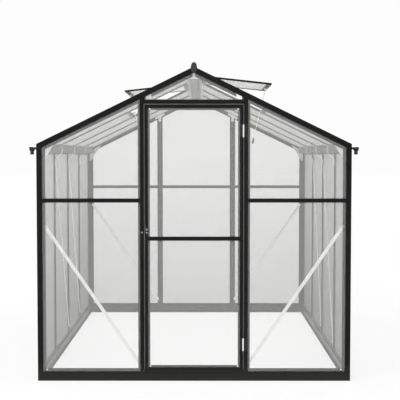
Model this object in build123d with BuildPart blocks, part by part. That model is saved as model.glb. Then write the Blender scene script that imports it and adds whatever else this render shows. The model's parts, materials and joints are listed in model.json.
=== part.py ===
from build123d import *
import math
import os

# A polycarbonate greenhouse of aluminium extrusions, in millimetres.
# X runs across the gable, Y from the door gable to the rear one, Z up.
# The origin is on the ground, in the middle of the footprint.

# Size of the house
WIDTH = 1900.0  # across a gable, outside
BAY = 620.0  # from one side bar to the next
BAYS = 4
END_INSET = 20.0  # from a gable's outer face to the end bay's line
EAVES_HEIGHT = 1440.0
ROOF_PITCH = 26.0
DOOR_BAY = 632.0  # between the two posts of the door, centre to centre

# Sheets and the slots that hold them
PANE = 6.0
GLAZING_CLEARANCE = 0.5  # between a sheet and the cap outside it
EDGE_CLEARANCE = 1.0  # between a sheet's edge and the metal it stops at
WALL = 2.0  # metal of every extrusion

# Extrusions
FACE = 33.0  # outside face of a corner extrusion
LIP = 18.0  # inner lip that shows past an outside face
GRIP = 12.0  # how far a sheet's edge goes under a face
CAP = 20.0  # outer cap of a bar
WEB = 3.0  # web between two sheets
FLANGE = 46.0  # inner flange of a bar
CHANNEL_WIDTH = 12.0  # bolt channel on the inner side
CHANNEL_DEPTH = 8.5
CHANNEL_MOUTH = 5.0
MID_RAIL = 24.0
MID_RAIL_HEIGHT = 1099.0
TOP_RIB = 14.0  # width of the hollow rib on top of a rafter

# Base
BASE_FACE = 58.0
BASE_FOOT = 40.0

# Eaves beam and gutter
EAVES_DEPTH = 58.0
EAVES_DROP = 48.0  # from the eaves height to the beam's underside
ROOF_OVERHANG = 14.0  # roof sheets past the walls, into the gutter
GUTTER_WIDTH = 42.0
GUTTER_DROP = 32.0  # from the eaves height to the gutter's underside
GUTTER_LIP = 12.0
SPOUT_INSET = 25.0  # from a gable's outer face to a spout's centre
SPOUT_COLLAR = 16.0  # radius
SPOUT_RADIUS = 11.0
SPOUT_COLLAR_HEIGHT = 6.0
SPOUT_CONE_HEIGHT = 6.0
SPOUT_LENGTH = 32.0
SPOUT_TO_LIP = 13.0  # from the spout's centre to the gutter's lip

# Ridge
RIDGE_CAP = 70.0  # down the slope
RIDGE_FLANGE = 66.0
RIDGE_STOP = 22.0
RIDGE_BOX = 51.0
RIDGE_BOX_DEPTH = 30.0
RIDGE_TUBE_RADIUS = 12.0
RIDGE_TUBE_RISE = 22.0  # top of the ridge's round rib above the apex of the rafters
HOOK_RADIUS = 3.0  # rolled edge that a vent hooks on
END_CAP_WIDTH = 38.0
END_CAP_TOP = 9.0  # radius
END_CAP_RISE = 26.0  # above the apex of the rafters
END_CAP_FRONT = 4.0
END_CAP_SHOULDER = 3.0  # above the apex
END_CAP_FOOT = 10.0  # radius

# Roof vents
VENT_SLOPE = 6.3  # below level, as they stand open
VENT_LENGTH = 422.0
VENT_SIDE_CLEARANCE = 20.0  # from a leaf's edge to the cap of the bar beside it
VENT_RISE = 4.0  # leaf's top above the hook's centre
VENT_STILE = 16.0
VENT_LOWER_RAIL = 26.0
VENT_TOP_RAIL = 18.0
CLAW_CLEARANCE = 0.5
CLAW_WALL = 2.0
CROSS_BAR = 500.0  # from the apex down the slope, to the upper side
CROSS_BAR_CAP = 22.0
STAY_LENGTH = 357.0
STAY_LEAN = 13.6  # from upright
STAY_WIDTH = 15.0
STAY_THICKNESS = 3.0
STAY_HOLE = 3.0  # radius
STAY_HOLE_PITCH = 50.0
STAY_INSET = 16.0  # from the leaf's lower edge to the stay
STAY_START = 3.0  # from the leaf's underside to the stay's end
PEG_RADIUS = 2.4
PEG_END = 4.0  # past the stay
BRACKET_LENGTH = 18.0
BRACKET_DROP = 14.0
LUG_LENGTH = 50.0
LUG_WIDTH = 18.0
LUG_BEARING = 22.0  # on the bar beside it

# Door
DOOR_SIDE_CLEARANCE = 10.0  # at each side
DOOR_CLEARANCE = 5.0  # above, below and behind
DOOR_DEPTH = 17.0
DOOR_STILE = 18.0
DOOR_LIP = 12.0
DOOR_RAIL = 20.0
DOOR_RETURN = 10.0
DOOR_MID_RAIL_HEIGHT = 868.0
STOP_WIDTH = 22.0
HEADER_FACE = 24.0
HEADER_CLEARANCE = 13.4  # from the header's ends up to the rafters
GABLE_CAP = 10.0  # cap over the sheet above the header

# Hinges and latch
HINGE_LENGTH = 76.0
HINGE_RADIUS = 4.5
HINGE_PIN = 2.0  # radius
HINGE_BORE = 2.3  # radius
HINGE_PLATE = 2.0
HINGE_PLATE_WIDTH = 18.0
KNUCKLE_CLEARANCE = 0.5
LOWER_HINGE = 160.0  # from the door's bottom to the hinge's middle
UPPER_HINGE = 157.0  # from the door's top to the hinge's middle
HINGE_OFFSET = 2.0  # axis past the door's edge
LATCH_HEIGHT = 897.0
LATCH_PLATE_HEIGHT = 41.0
LATCH_PLATE_WIDTH = 17.0
LATCH_TONGUE_WIDTH = 10.0
LATCH_TONGUE_HEIGHT = 52.0
LATCH_TONGUE_DEPTH = 3.0
LATCH_TONGUE_REACH = 5.0  # past the door's edge
KEEPER_HEIGHT = 18.0
KEEPER_WIDTH = 16.0

# Flat fittings
PLATE = 2.0
BRACE_WIDTH = 20.0
BRACE_DROP = 149.0  # from the mid rail to a gable brace's top
BRACE_RISE = 47.0  # from the base to a gable brace's foot
SIDE_BRACE_DROP = 46.0  # from the eaves beam to a side brace's top
SIDE_BRACE_RISE = 42.0  # from the base to a side brace's foot
BRACE_BEARING = 8.0  # end of a brace from the edge of the flange it lies on
GUSSET_LEG = 62.0
CORNER_PLATE_LEG = 62.0
RIDGE_GUSSET_WIDTH = 75.0
RIDGE_GUSSET_DROP = 73.0
RIDGE_LIP_START = 8.0  # from the middle to where a rafter's lip starts
BRACKET_STEM = 60.0
BRACKET_ARM = 52.0
BRACKET_WIDTH = 14.0
STRAP_WIDTH = 20.0
STRAP_WALL_LEG = 45.0
STRAP_BEND_DROP = 45.0
STRAP_ROOF_LEG = 60.0

# Worked out from the sizes above
LENGTH = BAYS * BAY + 2 * END_INSET
HALF_WIDTH = WIDTH / 2
HALF_LENGTH = LENGTH / 2
SLOPE = math.radians(ROOF_PITCH)
APEX_HEIGHT = EAVES_HEIGHT + HALF_WIDTH * math.tan(SLOPE)
FLANGE_OUT = WALL + GLAZING_CLEARANCE + PANE
FLANGE_IN = FLANGE_OUT + WALL
CHANNEL_IN = FLANGE_IN + CHANNEL_DEPTH
PANE_OUT = WALL + GLAZING_CLEARANCE
ROOF_SINK = FACE - CHANNEL_IN  # the roof's bars and sheets lie this far below a rafter's top
STOP = FACE - GRIP
RAFTER_DEPTH = CHANNEL_IN + PLATE + CHANNEL_WIDTH
SIDE_BARS = [(bay + 1 - BAYS / 2) * BAY for bay in range(BAYS - 1)]
EAVES_LINE = HALF_WIDTH / math.cos(SLOPE)
ROOF_END = EAVES_LINE + ROOF_OVERHANG
EAVES_BOTTOM = EAVES_HEIGHT - EAVES_DROP
EAVES_FACE_BOTTOM = EAVES_BOTTOM - GRIP
GUTTER_BOTTOM = EAVES_HEIGHT - GUTTER_DROP
JAMB = DOOR_BAY / 2 - CAP / 2
DOOR_HALF = JAMB - DOOR_SIDE_CLEARANCE
HEADER_TOP = APEX_HEIGHT - JAMB * math.tan(SLOPE) - FACE / math.cos(SLOPE) - HEADER_CLEARANCE
HEADER_BOTTOM = HEADER_TOP - HEADER_FACE
DOOR_TOP = HEADER_BOTTOM - DOOR_CLEARANCE
DOOR_BOTTOM = BASE_FACE + DOOR_CLEARANCE
STOP_OUT = DOOR_DEPTH + DOOR_CLEARANCE
HINGE_HEIGHTS = (DOOR_BOTTOM + LOWER_HINGE, DOOR_TOP - UPPER_HINGE)
BRACE_TOP = MID_RAIL_HEIGHT - BRACE_DROP
BRACE_BOTTOM = BASE_FACE + BRACE_RISE
SIDE_BRACE_TOP = EAVES_BOTTOM - SIDE_BRACE_DROP
SIDE_BRACE_BOTTOM = BASE_FACE + SIDE_BRACE_RISE
VENT_WIDTH = BAY - CAP - 2 * VENT_SIDE_CLEARANCE
RIGHT_VENT_Y = -1.5 * BAY
LEFT_VENT_Y = -0.5 * BAY
DOWN_SLOPE = Vector(math.cos(SLOPE), 0, -math.sin(SLOPE))
UNDER_ROOF = Vector(-math.sin(SLOPE), 0, -math.cos(SLOPE))
RIGHT = Vector(1, 0, 0)
BACK = Vector(0, 1, 0)
UP = Vector(0, 0, 1)

os.makedirs("parts", exist_ok=True)


def section_plane(origin, across, inward):
    """A plane for a section: X goes across the bar and Y into the house."""
    return Plane(origin=origin, x_dir=across, z_dir=across.cross(inward))


def front_layer(depth):
    """A plane seen from the front, this far behind the front gable's outer face."""
    return Plane.XZ.offset(HALF_LENGTH - depth)


def side_layer(depth):
    """A plane seen from the right, this far inside the right wall's outer face."""
    return Plane.YZ.offset(HALF_WIDTH - depth)


def roof_point(along, under):
    """A point of the right slope at y = 0: down the slope, and square below the rafters' top."""
    return Vector(0, 0, APEX_HEIGHT) + DOWN_SLOPE * along + UNDER_ROOF * under


def seen_from_front(along, under):
    """The same point in a sketch seen from the front."""
    point = roof_point(along, under)
    return (point.X, point.Z)


def roof_height(x, under=0.0):
    """Height of the right slope over x, square below the rafters' top."""
    return APEX_HEIGHT - x * math.tan(SLOPE) - under / math.cos(SLOPE)


def strip(low, high, mode=Mode.ADD):
    """A straight wall of a section, from its low corner to its high corner."""
    with Locations(((low[0] + high[0]) / 2, (low[1] + high[1]) / 2)):
        Rectangle(high[0] - low[0], high[1] - low[1], mode=mode)


def channel(centre):
    """Bolt channel on the inner side of a flange, open into the house."""
    hollow = CHANNEL_WIDTH / 2 - WALL
    strip((centre - CHANNEL_WIDTH / 2, FLANGE_IN), (centre + CHANNEL_WIDTH / 2, CHANNEL_IN))
    strip((centre - hollow, FLANGE_IN), (centre + hollow, CHANNEL_IN - WALL), Mode.SUBTRACT)
    mouth = CHANNEL_MOUTH / 2
    strip((centre - mouth, CHANNEL_IN - WALL), (centre + mouth, CHANNEL_IN), Mode.SUBTRACT)


def bar_section(cap, flange):
    """Bar between two sheets: cap outside, web between them, flange inside."""
    strip((-cap / 2, 0), (cap / 2, WALL))
    strip((-WEB / 2, 0), (WEB / 2, FLANGE_IN))
    strip((-flange / 2, FLANGE_OUT), (flange / 2, FLANGE_IN))


def corner_section():
    """Corner extrusion, with its outside corner at the origin and a slot for a sheet each way."""
    strip((0, 0), (FACE, WALL))
    strip((STOP - WALL, 0), (STOP, FLANGE_IN))
    strip((FLANGE_OUT, FLANGE_OUT), (FACE, FLANGE_IN))
    channel(FACE - CHANNEL_WIDTH / 2)
    mirror(about=Plane(origin=(0, 0, 0), z_dir=(1, -1, 0)))


def spans(edges):
    """Pairs of neighbouring edges, for what fills the room between two bars."""
    return list(zip(edges[0::2], edges[1::2]))


def side_spans(end, half):
    """Stretches along a side wall between its bars, each bar this wide by half."""
    edges = [-HALF_LENGTH + end]
    for bar in SIDE_BARS:
        edges += [bar - half, bar + half]
    return spans(edges + [HALF_LENGTH - end])


# Base, mitred at the corners
def base_section():
    """Base with the seat for the wall sheets; X is up and Y is into the house."""
    seat = BASE_FACE - GRIP
    strip((0, 0), (BASE_FACE, WALL))
    strip((0, 0), (WALL, BASE_FOOT))
    strip((seat - WALL, 0), (seat, CHANNEL_IN))
    strip((seat - WALL, FLANGE_OUT), (BASE_FACE, FLANGE_IN))
    strip((0, CHANNEL_IN - WALL), (seat, CHANNEL_IN))


def front_mitres():
    """Cuts both ends of a front member at 45 degrees to the corners."""
    for side in (1, -1):
        corner = (side * HALF_WIDTH, -HALF_LENGTH, 0)
        split(bisect_by=Plane(origin=corner, z_dir=(-side, -1, 0)), keep=Keep.TOP)


REAR_LIPS = [
    (-HALF_WIDTH + FACE + LIP, -DOOR_BAY / 2 - FLANGE / 2),
    (-DOOR_BAY / 2 + FLANGE / 2, DOOR_BAY / 2 - FLANGE / 2),
    (DOOR_BAY / 2 + FLANGE / 2, HALF_WIDTH - FACE - LIP),
]
FRONT_LIPS = [REAR_LIPS[0], REAR_LIPS[2]]


def gable_base(lips):
    """Base along the front gable, with a lip behind the sheets of each stretch."""
    with BuildPart() as base:
        with BuildSketch(section_plane((HALF_WIDTH, -HALF_LENGTH, 0), UP, BACK)):
            base_section()
        extrude(amount=WIDTH)
        front_mitres()
        with BuildSketch(front_layer(FLANGE_IN)):
            for left, right in lips:
                strip((left, BASE_FACE), (right, BASE_FACE + LIP))
        extrude(amount=WALL)
    return base.part


with BuildPart() as base_front:
    add(gable_base(FRONT_LIPS))

with BuildPart() as base_rear:
    mirror(gable_base(REAR_LIPS), about=Plane.XZ)

with BuildPart() as base_right:
    with BuildSketch(section_plane((HALF_WIDTH, HALF_LENGTH, 0), UP, -RIGHT)):
        base_section()
    extrude(amount=LENGTH)
    for end in (1, -1):
        corner = (HALF_WIDTH, end * HALF_LENGTH, 0)
        split(bisect_by=Plane(origin=corner, z_dir=(1, -end, 0)), keep=Keep.TOP)
    with BuildSketch(side_layer(FLANGE_IN)):
        for start, stop in side_spans(FACE + LIP, FLANGE / 2):
            strip((start, BASE_FACE), (stop, BASE_FACE + LIP))
    extrude(amount=WALL)

with BuildPart() as base_left:
    mirror(base_right.part, about=Plane.YZ)

# Corner posts, cut under the rafters
UNDER_RAFTER = Plane(origin=roof_point(0, FACE), z_dir=UNDER_ROOF)

with BuildPart() as corner_posts:
    with BuildSketch(section_plane((HALF_WIDTH, -HALF_LENGTH, BASE_FACE), BACK, -RIGHT)):
        corner_section()
        strip((FLANGE_OUT, FACE), (FLANGE_IN, FACE + LIP))
    extrude(amount=EAVES_HEIGHT)
    split(bisect_by=UNDER_RAFTER, keep=Keep.TOP)
    with BuildSketch(section_plane((HALF_WIDTH, -HALF_LENGTH, BASE_FACE), BACK, -RIGHT)):
        strip((FACE, FLANGE_OUT), (FACE + LIP, FLANGE_IN))
    extrude(amount=EAVES_FACE_BOTTOM - BASE_FACE)
    mirror(about=Plane.YZ)
    mirror(about=Plane.XZ)

# Door posts, with a stop behind the door and a slot for the sheet above the header
with BuildPart() as door_posts:
    with BuildSketch(section_plane((0, -HALF_LENGTH, BASE_FACE), RIGHT, BACK)):
        strip((JAMB, 0), (JAMB + CAP, WALL))
        strip((JAMB, 0), (JAMB + WALL, STOP_OUT + WALL))
        strip((JAMB, FLANGE_OUT), (DOOR_BAY / 2 + FLANGE / 2, FLANGE_IN))
        channel(JAMB + CAP - CHANNEL_WIDTH / 2)
    extrude(amount=APEX_HEIGHT)
    with BuildSketch(section_plane((0, -HALF_LENGTH, HEADER_TOP), RIGHT, BACK)):
        strip((JAMB - GABLE_CAP, 0), (JAMB, WALL))
        strip((JAMB - LIP, FLANGE_OUT), (JAMB, FLANGE_IN))
    extrude(amount=APEX_HEIGHT - HEADER_TOP)
    split(bisect_by=UNDER_RAFTER, keep=Keep.TOP)
    with BuildSketch(section_plane((0, -HALF_LENGTH, BASE_FACE), RIGHT, BACK)):
        strip((JAMB - STOP_WIDTH, STOP_OUT), (JAMB, STOP_OUT + WALL))
    extrude(amount=HEADER_BOTTOM - BASE_FACE)
    mirror(about=Plane.YZ)

with BuildPart() as door_header:
    with BuildSketch(section_plane((JAMB, -HALF_LENGTH, HEADER_BOTTOM), UP, BACK)):
        strip((0, 0), (HEADER_FACE, WALL))
        strip((0, 0), (WALL, STOP_OUT + WALL))
        strip((0, FLANGE_OUT), (HEADER_FACE, FLANGE_IN))
        strip((HEADER_FACE - GRIP - WALL, 0), (HEADER_FACE - GRIP, FLANGE_IN))
        channel(HEADER_FACE - CHANNEL_WIDTH / 2)
    extrude(amount=2 * JAMB)
    with BuildSketch(front_layer(FLANGE_IN)):
        strip((LIP - JAMB, HEADER_TOP), (JAMB - LIP, HEADER_TOP + LIP))
    extrude(amount=WALL)
    with BuildSketch(front_layer(STOP_OUT + WALL)):
        strip((STOP_WIDTH - JAMB, HEADER_BOTTOM - STOP_WIDTH), (JAMB - STOP_WIDTH, HEADER_BOTTOM + WALL))
    extrude(amount=WALL)

# Rear studs
with BuildPart() as rear_studs:
    with BuildSketch(section_plane((DOOR_BAY / 2, -HALF_LENGTH, BASE_FACE), RIGHT, BACK)):
        bar_section(CAP, FLANGE)
        channel(0)
    extrude(amount=APEX_HEIGHT)
    split(bisect_by=UNDER_RAFTER, keep=Keep.TOP)
    mirror(about=Plane.YZ)
    mirror(about=Plane.XZ, mode=Mode.REPLACE)


# Mid rails, with their caps let in between the posts' caps
def mid_rail(left, right, cap_left, cap_right):
    """Rail across a front bay: its flange from left to right, its cap between the posts' caps."""
    with BuildPart() as rail:
        with BuildSketch(section_plane((right, -HALF_LENGTH, MID_RAIL_HEIGHT), UP, BACK)):
            bar_section(MID_RAIL, MID_RAIL)
        extrude(amount=right - left)
        with BuildSketch(front_layer(WALL)):
            strip((cap_left, MID_RAIL_HEIGHT - MID_RAIL / 2), (cap_right, MID_RAIL_HEIGHT + MID_RAIL / 2))
        extrude(amount=WALL)
    return rail.part


with BuildPart() as front_mid_rails:
    add(mid_rail(DOOR_BAY / 2 + FLANGE / 2, HALF_WIDTH - FACE - LIP, JAMB + CAP, HALF_WIDTH - FACE))
    mirror(about=Plane.YZ)

with BuildPart() as rear_mid_rails:
    add(mid_rail(DOOR_BAY / 2 + FLANGE / 2, HALF_WIDTH - FACE - LIP, JAMB + CAP, HALF_WIDTH - FACE))
    mirror(about=Plane.YZ)
    flange_end, cap_end = (DOOR_BAY - FLANGE) / 2, (DOOR_BAY - CAP) / 2
    add(mid_rail(-flange_end, flange_end, -cap_end, cap_end))
    mirror(about=Plane.XZ, mode=Mode.REPLACE)


# Rafters, mitred at the apex and cut plumb at the eaves
def rafter_section():
    """Rafter: X goes square below its top, Y into the house. The gable's sheet is under the roof's."""
    strip((0, 0), (FACE, WALL))
    strip((0, 0), (WALL, TOP_RIB))
    strip((0, TOP_RIB - WALL), (ROOF_SINK, TOP_RIB))
    strip((ROOF_SINK, 0), (ROOF_SINK + WALL, FACE))
    strip((ROOF_SINK + FLANGE_OUT, 0), (ROOF_SINK + FLANGE_IN, RAFTER_DEPTH))
    strip((ROOF_SINK, STOP - WALL), (ROOF_SINK + FLANGE_IN, STOP))
    strip((ROOF_SINK + FLANGE_IN, FLANGE_OUT), (FACE, FLANGE_IN))
    low, high = ROOF_SINK + FLANGE_IN, FACE
    near, far = RAFTER_DEPTH - CHANNEL_WIDTH, RAFTER_DEPTH
    mouth = (near + far) / 2
    strip((low, near), (high, far))
    strip((low, near + WALL), (high - WALL, far - WALL), Mode.SUBTRACT)
    strip((high - WALL, mouth - CHANNEL_MOUTH / 2), (high, mouth + CHANNEL_MOUTH / 2), Mode.SUBTRACT)


def right_rafter(lips):
    """The front gable's right rafter, with a lip over the sheet of each stretch."""
    start = -2 * FACE
    with BuildPart() as rafter:
        origin = roof_point(start, 0) - BACK * HALF_LENGTH
        with BuildSketch(section_plane(origin, UNDER_ROOF, BACK)):
            rafter_section()
        extrude(amount=EAVES_LINE + 4 * FACE)
        split(bisect_by=Plane.YZ, keep=Keep.TOP)
        split(bisect_by=Plane.YZ.offset(HALF_WIDTH), keep=Keep.BOTTOM)
        with BuildSketch(front_layer(FLANGE_IN)):
            for left, right in lips:
                Polygon(
                    (left, roof_height(left, FACE + LIP)),
                    (right, roof_height(right, FACE + LIP)),
                    (right, roof_height(right, FACE)),
                    (left, roof_height(left, FACE)),
                    align=None,
                )
        extrude(amount=WALL)
    return rafter.part


OUTER_LIP = (DOOR_BAY / 2 + FLANGE / 2, HALF_WIDTH - FACE - LIP)
HEADER_LIP_END = (roof_height(0, FACE + LIP) - HEADER_TOP - LIP) / math.tan(SLOPE)

with BuildPart() as right_rafters:
    add(right_rafter([(RIDGE_LIP_START, HEADER_LIP_END), OUTER_LIP]))
    mirror(right_rafter([(RIDGE_LIP_START, DOOR_BAY / 2 - FLANGE / 2), OUTER_LIP]), about=Plane.XZ)

with BuildPart() as left_rafters:
    mirror(right_rafters.part, about=Plane.YZ)

# Ridge beam between the rafters
RIDGE_BOX_BOTTOM = roof_height(RIDGE_BOX / 2, ROOF_SINK + FLANGE_IN) - RIDGE_BOX_DEPTH
HOOK_ALONG = RIDGE_FLANGE + HOOK_RADIUS
HOOK_UNDER = ROOF_SINK + FLANGE_OUT + HOOK_RADIUS


def slope_strip(along, under):
    """A straight wall of a section seen from the front, along or across the right slope."""
    Polygon(
        seen_from_front(along[0], under[0]),
        seen_from_front(along[0], under[1]),
        seen_from_front(along[1], under[1]),
        seen_from_front(along[1], under[0]),
        align=None,
    )


def ridge_strip(stop, under):
    """A straight wall of a section seen from the front, from the middle down the right slope."""
    Polygon(
        (0, roof_height(0, under)),
        (0, roof_height(0, under + WALL)),
        seen_from_front(stop, under + WALL),
        seen_from_front(stop, under),
        align=None,
    )


with BuildPart() as ridge_beam:
    with BuildSketch(front_layer(LENGTH - RAFTER_DEPTH)):
        ridge_strip(RIDGE_CAP, ROOF_SINK)
        ridge_strip(RIDGE_FLANGE, ROOF_SINK + FLANGE_OUT)
        slope_strip((RIDGE_STOP - WALL, RIDGE_STOP), (ROOF_SINK, ROOF_SINK + FLANGE_IN))
        with Locations(seen_from_front(HOOK_ALONG, HOOK_UNDER)):
            Circle(HOOK_RADIUS)
        slope_strip((RIDGE_FLANGE - WALL, HOOK_ALONG), (HOOK_UNDER - WALL / 2, HOOK_UNDER + WALL / 2))
        slope_strip((RIDGE_FLANGE - WALL, RIDGE_FLANGE), (HOOK_UNDER - HOOK_RADIUS, HOOK_UNDER + WALL / 2))
        box_top = roof_height(RIDGE_BOX / 2, ROOF_SINK + FLANGE_IN) + WALL / 2
        strip((RIDGE_BOX / 2 - WALL, RIDGE_BOX_BOTTOM), (RIDGE_BOX / 2, box_top))
        strip((0, RIDGE_BOX_BOTTOM), (RIDGE_BOX / 2, RIDGE_BOX_BOTTOM + WALL))
        tube_middle = APEX_HEIGHT + RIDGE_TUBE_RISE - RIDGE_TUBE_RADIUS
        with Locations((0, tube_middle)):
            Circle(RIDGE_TUBE_RADIUS)
            Circle(RIDGE_TUBE_RADIUS - WALL, mode=Mode.SUBTRACT)
        strip(
            (0, tube_middle - RIDGE_TUBE_RADIUS),
            (RIDGE_TUBE_RADIUS - WALL, tube_middle),
            Mode.SUBTRACT,
        )
        tube_foot = roof_height(RIDGE_TUBE_RADIUS, ROOF_SINK + WALL)
        strip((RIDGE_TUBE_RADIUS - WALL, tube_foot), (RIDGE_TUBE_RADIUS, tube_middle))
        split(bisect_by=Plane.YZ, keep=Keep.TOP)
        mirror(about=Plane.YZ)
    extrude(amount=LENGTH - 2 * RAFTER_DEPTH)

with BuildPart() as ridge_end_caps:
    with BuildSketch(front_layer(0)) as outline:
        with BuildLine() as rounds:
            CenterArc((0, APEX_HEIGHT + END_CAP_RISE - END_CAP_TOP), END_CAP_TOP, 0, 360)
            CenterArc((0, roof_height(0, FACE) + END_CAP_FOOT), END_CAP_FOOT, 0, 360)
            shoulder = APEX_HEIGHT + END_CAP_SHOULDER
            Line((-END_CAP_WIDTH / 2, shoulder), (-END_CAP_WIDTH / 2, shoulder - END_CAP_WIDTH / 2))
            Line((END_CAP_WIDTH / 2, shoulder), (END_CAP_WIDTH / 2, shoulder - END_CAP_WIDTH / 2))
        make_hull(rounds.edges())
    extrude(amount=END_CAP_FRONT)
    with BuildSketch(front_layer(RAFTER_DEPTH)) as hood:
        add(outline.sketch_local)
        Polygon(
            (-WIDTH, roof_height(WIDTH)),
            (0, APEX_HEIGHT),
            (WIDTH, roof_height(WIDTH)),
            align=None,
            mode=Mode.SUBTRACT,
        )
    extrude(amount=RAFTER_DEPTH)
    mirror(about=Plane.XZ)


# Eaves beam with its gutter
def eaves_wall(inset, low, high):
    """An upright wall of the eaves beam: its outer side this far inside the right wall."""
    strip((HALF_WIDTH - inset - WALL, low), (HALF_WIDTH - inset, high))


with BuildPart() as right_eaves_beam:
    with BuildSketch(front_layer(LENGTH - RAFTER_DEPTH)):
        shelf_under = ROOF_SINK + FLANGE_OUT
        Polygon(
            (HALF_WIDTH, roof_height(HALF_WIDTH, shelf_under)),
            (HALF_WIDTH, roof_height(HALF_WIDTH, shelf_under + WALL)),
            (HALF_WIDTH - EAVES_DEPTH, roof_height(HALF_WIDTH - EAVES_DEPTH, shelf_under + WALL)),
            (HALF_WIDTH - EAVES_DEPTH, roof_height(HALF_WIDTH - EAVES_DEPTH, shelf_under)),
            align=None,
        )
        eaves_wall(0, EAVES_FACE_BOTTOM, roof_height(HALF_WIDTH, shelf_under + WALL / 2))
        eaves_wall(FLANGE_OUT, EAVES_FACE_BOTTOM, EAVES_BOTTOM)
        eaves_wall(
            EAVES_DEPTH - WALL,
            EAVES_BOTTOM,
            roof_height(HALF_WIDTH - EAVES_DEPTH + WALL, shelf_under + WALL / 2),
        )
        strip((HALF_WIDTH - EAVES_DEPTH, EAVES_BOTTOM), (HALF_WIDTH, EAVES_BOTTOM + WALL))
    extrude(amount=LENGTH - 2 * RAFTER_DEPTH)
    with BuildSketch(side_layer(FLANGE_IN)):
        for start, stop in side_spans(FACE + LIP, FLANGE / 2):
            strip((start, EAVES_FACE_BOTTOM - LIP), (stop, EAVES_FACE_BOTTOM))
    extrude(amount=WALL)
    with BuildSketch(front_layer(LENGTH)):
        gutter_top = roof_height(HALF_WIDTH, shelf_under + WALL / 2)
        strip((HALF_WIDTH, GUTTER_BOTTOM), (HALF_WIDTH + WALL, gutter_top))
        strip((HALF_WIDTH, GUTTER_BOTTOM), (HALF_WIDTH + GUTTER_WIDTH, GUTTER_BOTTOM + WALL))
        strip(
            (HALF_WIDTH + GUTTER_WIDTH - WALL, GUTTER_BOTTOM),
            (HALF_WIDTH + GUTTER_WIDTH, GUTTER_BOTTOM + GUTTER_LIP),
        )
        with Locations((HALF_WIDTH + GUTTER_WIDTH - WALL, GUTTER_BOTTOM + GUTTER_LIP)):
            Circle(WALL)
    extrude(amount=LENGTH)
    SPOUT_X = HALF_WIDTH + GUTTER_WIDTH - SPOUT_TO_LIP
    with BuildSketch(Plane.XY.offset(GUTTER_BOTTOM)):
        with Locations(
            (SPOUT_X, SPOUT_INSET - HALF_LENGTH),
            (SPOUT_X, HALF_LENGTH - SPOUT_INSET),
        ):
            Circle(SPOUT_RADIUS - WALL)
    extrude(amount=WALL, mode=Mode.SUBTRACT)

with BuildPart() as left_eaves_beam:
    mirror(right_eaves_beam.part, about=Plane.YZ)

with BuildPart() as gutter_spouts:
    spout_top = Vector(SPOUT_X, SPOUT_INSET - HALF_LENGTH, GUTTER_BOTTOM)
    with BuildSketch(Plane(origin=spout_top, x_dir=RIGHT, z_dir=-BACK)):
        with BuildLine():
            Polyline(
                (SPOUT_RADIUS - WALL, 0),
                (SPOUT_COLLAR, 0),
                (SPOUT_COLLAR, -SPOUT_COLLAR_HEIGHT),
                (SPOUT_RADIUS, -SPOUT_COLLAR_HEIGHT - SPOUT_CONE_HEIGHT),
                (SPOUT_RADIUS, -SPOUT_LENGTH),
                (SPOUT_RADIUS - WALL, -SPOUT_LENGTH),
                close=True,
            )
        make_face()
    revolve(axis=Axis(spout_top, UP))
    mirror(about=Plane.YZ)
    mirror(about=Plane.XZ)

# Wall bars, from the base to the eaves beam
with BuildPart() as wall_bars:
    for bar in SIDE_BARS:
        with BuildSketch(section_plane(Vector(HALF_WIDTH, bar, BASE_FACE), BACK, -RIGHT)):
            bar_section(CAP, FLANGE)
        extrude(amount=EAVES_FACE_BOTTOM - BASE_FACE)
        with BuildSketch(section_plane(Vector(HALF_WIDTH, bar, BASE_FACE), BACK, -RIGHT)):
            channel(0)
        extrude(amount=EAVES_BOTTOM - BASE_FACE)
    mirror(about=Plane.YZ)

# Roof bars, from the ridge to the eaves beam
SHELF_END = (HALF_WIDTH - EAVES_DEPTH + (ROOF_SINK + FLANGE_OUT) * math.sin(SLOPE)) / math.cos(SLOPE)

with BuildPart() as roof_bars:
    for bar in SIDE_BARS:
        for start, stop, piece in (
            (RIDGE_CAP, ROOF_END, "cap"),
            (HOOK_ALONG + HOOK_RADIUS, SHELF_END, "flange"),
        ):
            origin = roof_point(start, ROOF_SINK) + BACK * bar
            with BuildSketch(section_plane(origin, -BACK, UNDER_ROOF)):
                if piece == "cap":
                    strip((-CAP / 2, 0), (CAP / 2, WALL))
                else:
                    strip((-WEB / 2, 0), (WEB / 2, FLANGE_IN))
                    strip((-FLANGE / 2, FLANGE_OUT), (FLANGE / 2, FLANGE_IN))
                    channel(0)
            extrude(amount=stop - start)
    mirror(about=Plane.YZ)


# Open roof vents: drawn for the right slope at y = 0, then put in both bays
def in_both_bays(piece):
    """Puts a vent's piece in the right slope's first bay and the left slope's second bay."""
    with Locations((0, RIGHT_VENT_Y, 0)):
        add(piece)
    with Locations((0, LEFT_VENT_Y, 0)):
        add(mirror(piece, about=Plane.YZ, mode=Mode.PRIVATE))


VENT_TILT = math.radians(VENT_SLOPE)
LEAF_DOWN = Vector(math.cos(VENT_TILT), 0, -math.sin(VENT_TILT))
LEAF_UNDER = Vector(-math.sin(VENT_TILT), 0, -math.cos(VENT_TILT))
HOOK = roof_point(HOOK_ALONG, HOOK_UNDER)
CLAW = HOOK_RADIUS + CLAW_CLEARANCE + CLAW_WALL


def leaf_point(along, under):
    """A point of the open right leaf at y = 0: down the leaf from the hook, below its top."""
    return HOOK + LEAF_DOWN * along + LEAF_UNDER * (under - VENT_RISE)


def edge_section(width):
    """Edge of a vent's leaf: X goes in from the edge, Y goes down from its top."""
    strip((0, 0), (width, WALL))
    strip((0, 0), (WALL, FLANGE_IN))
    strip((0, FLANGE_OUT), (width, FLANGE_IN))


with BuildPart() as vent_stiles:
    for side in (1, -1):
        origin = leaf_point(CLAW, 0) + BACK * (side * VENT_WIDTH / 2)
        with BuildSketch(section_plane(origin, BACK * -side, LEAF_UNDER)):
            edge_section(VENT_STILE)
        extrude(amount=side * (VENT_LENGTH - CLAW))

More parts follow.
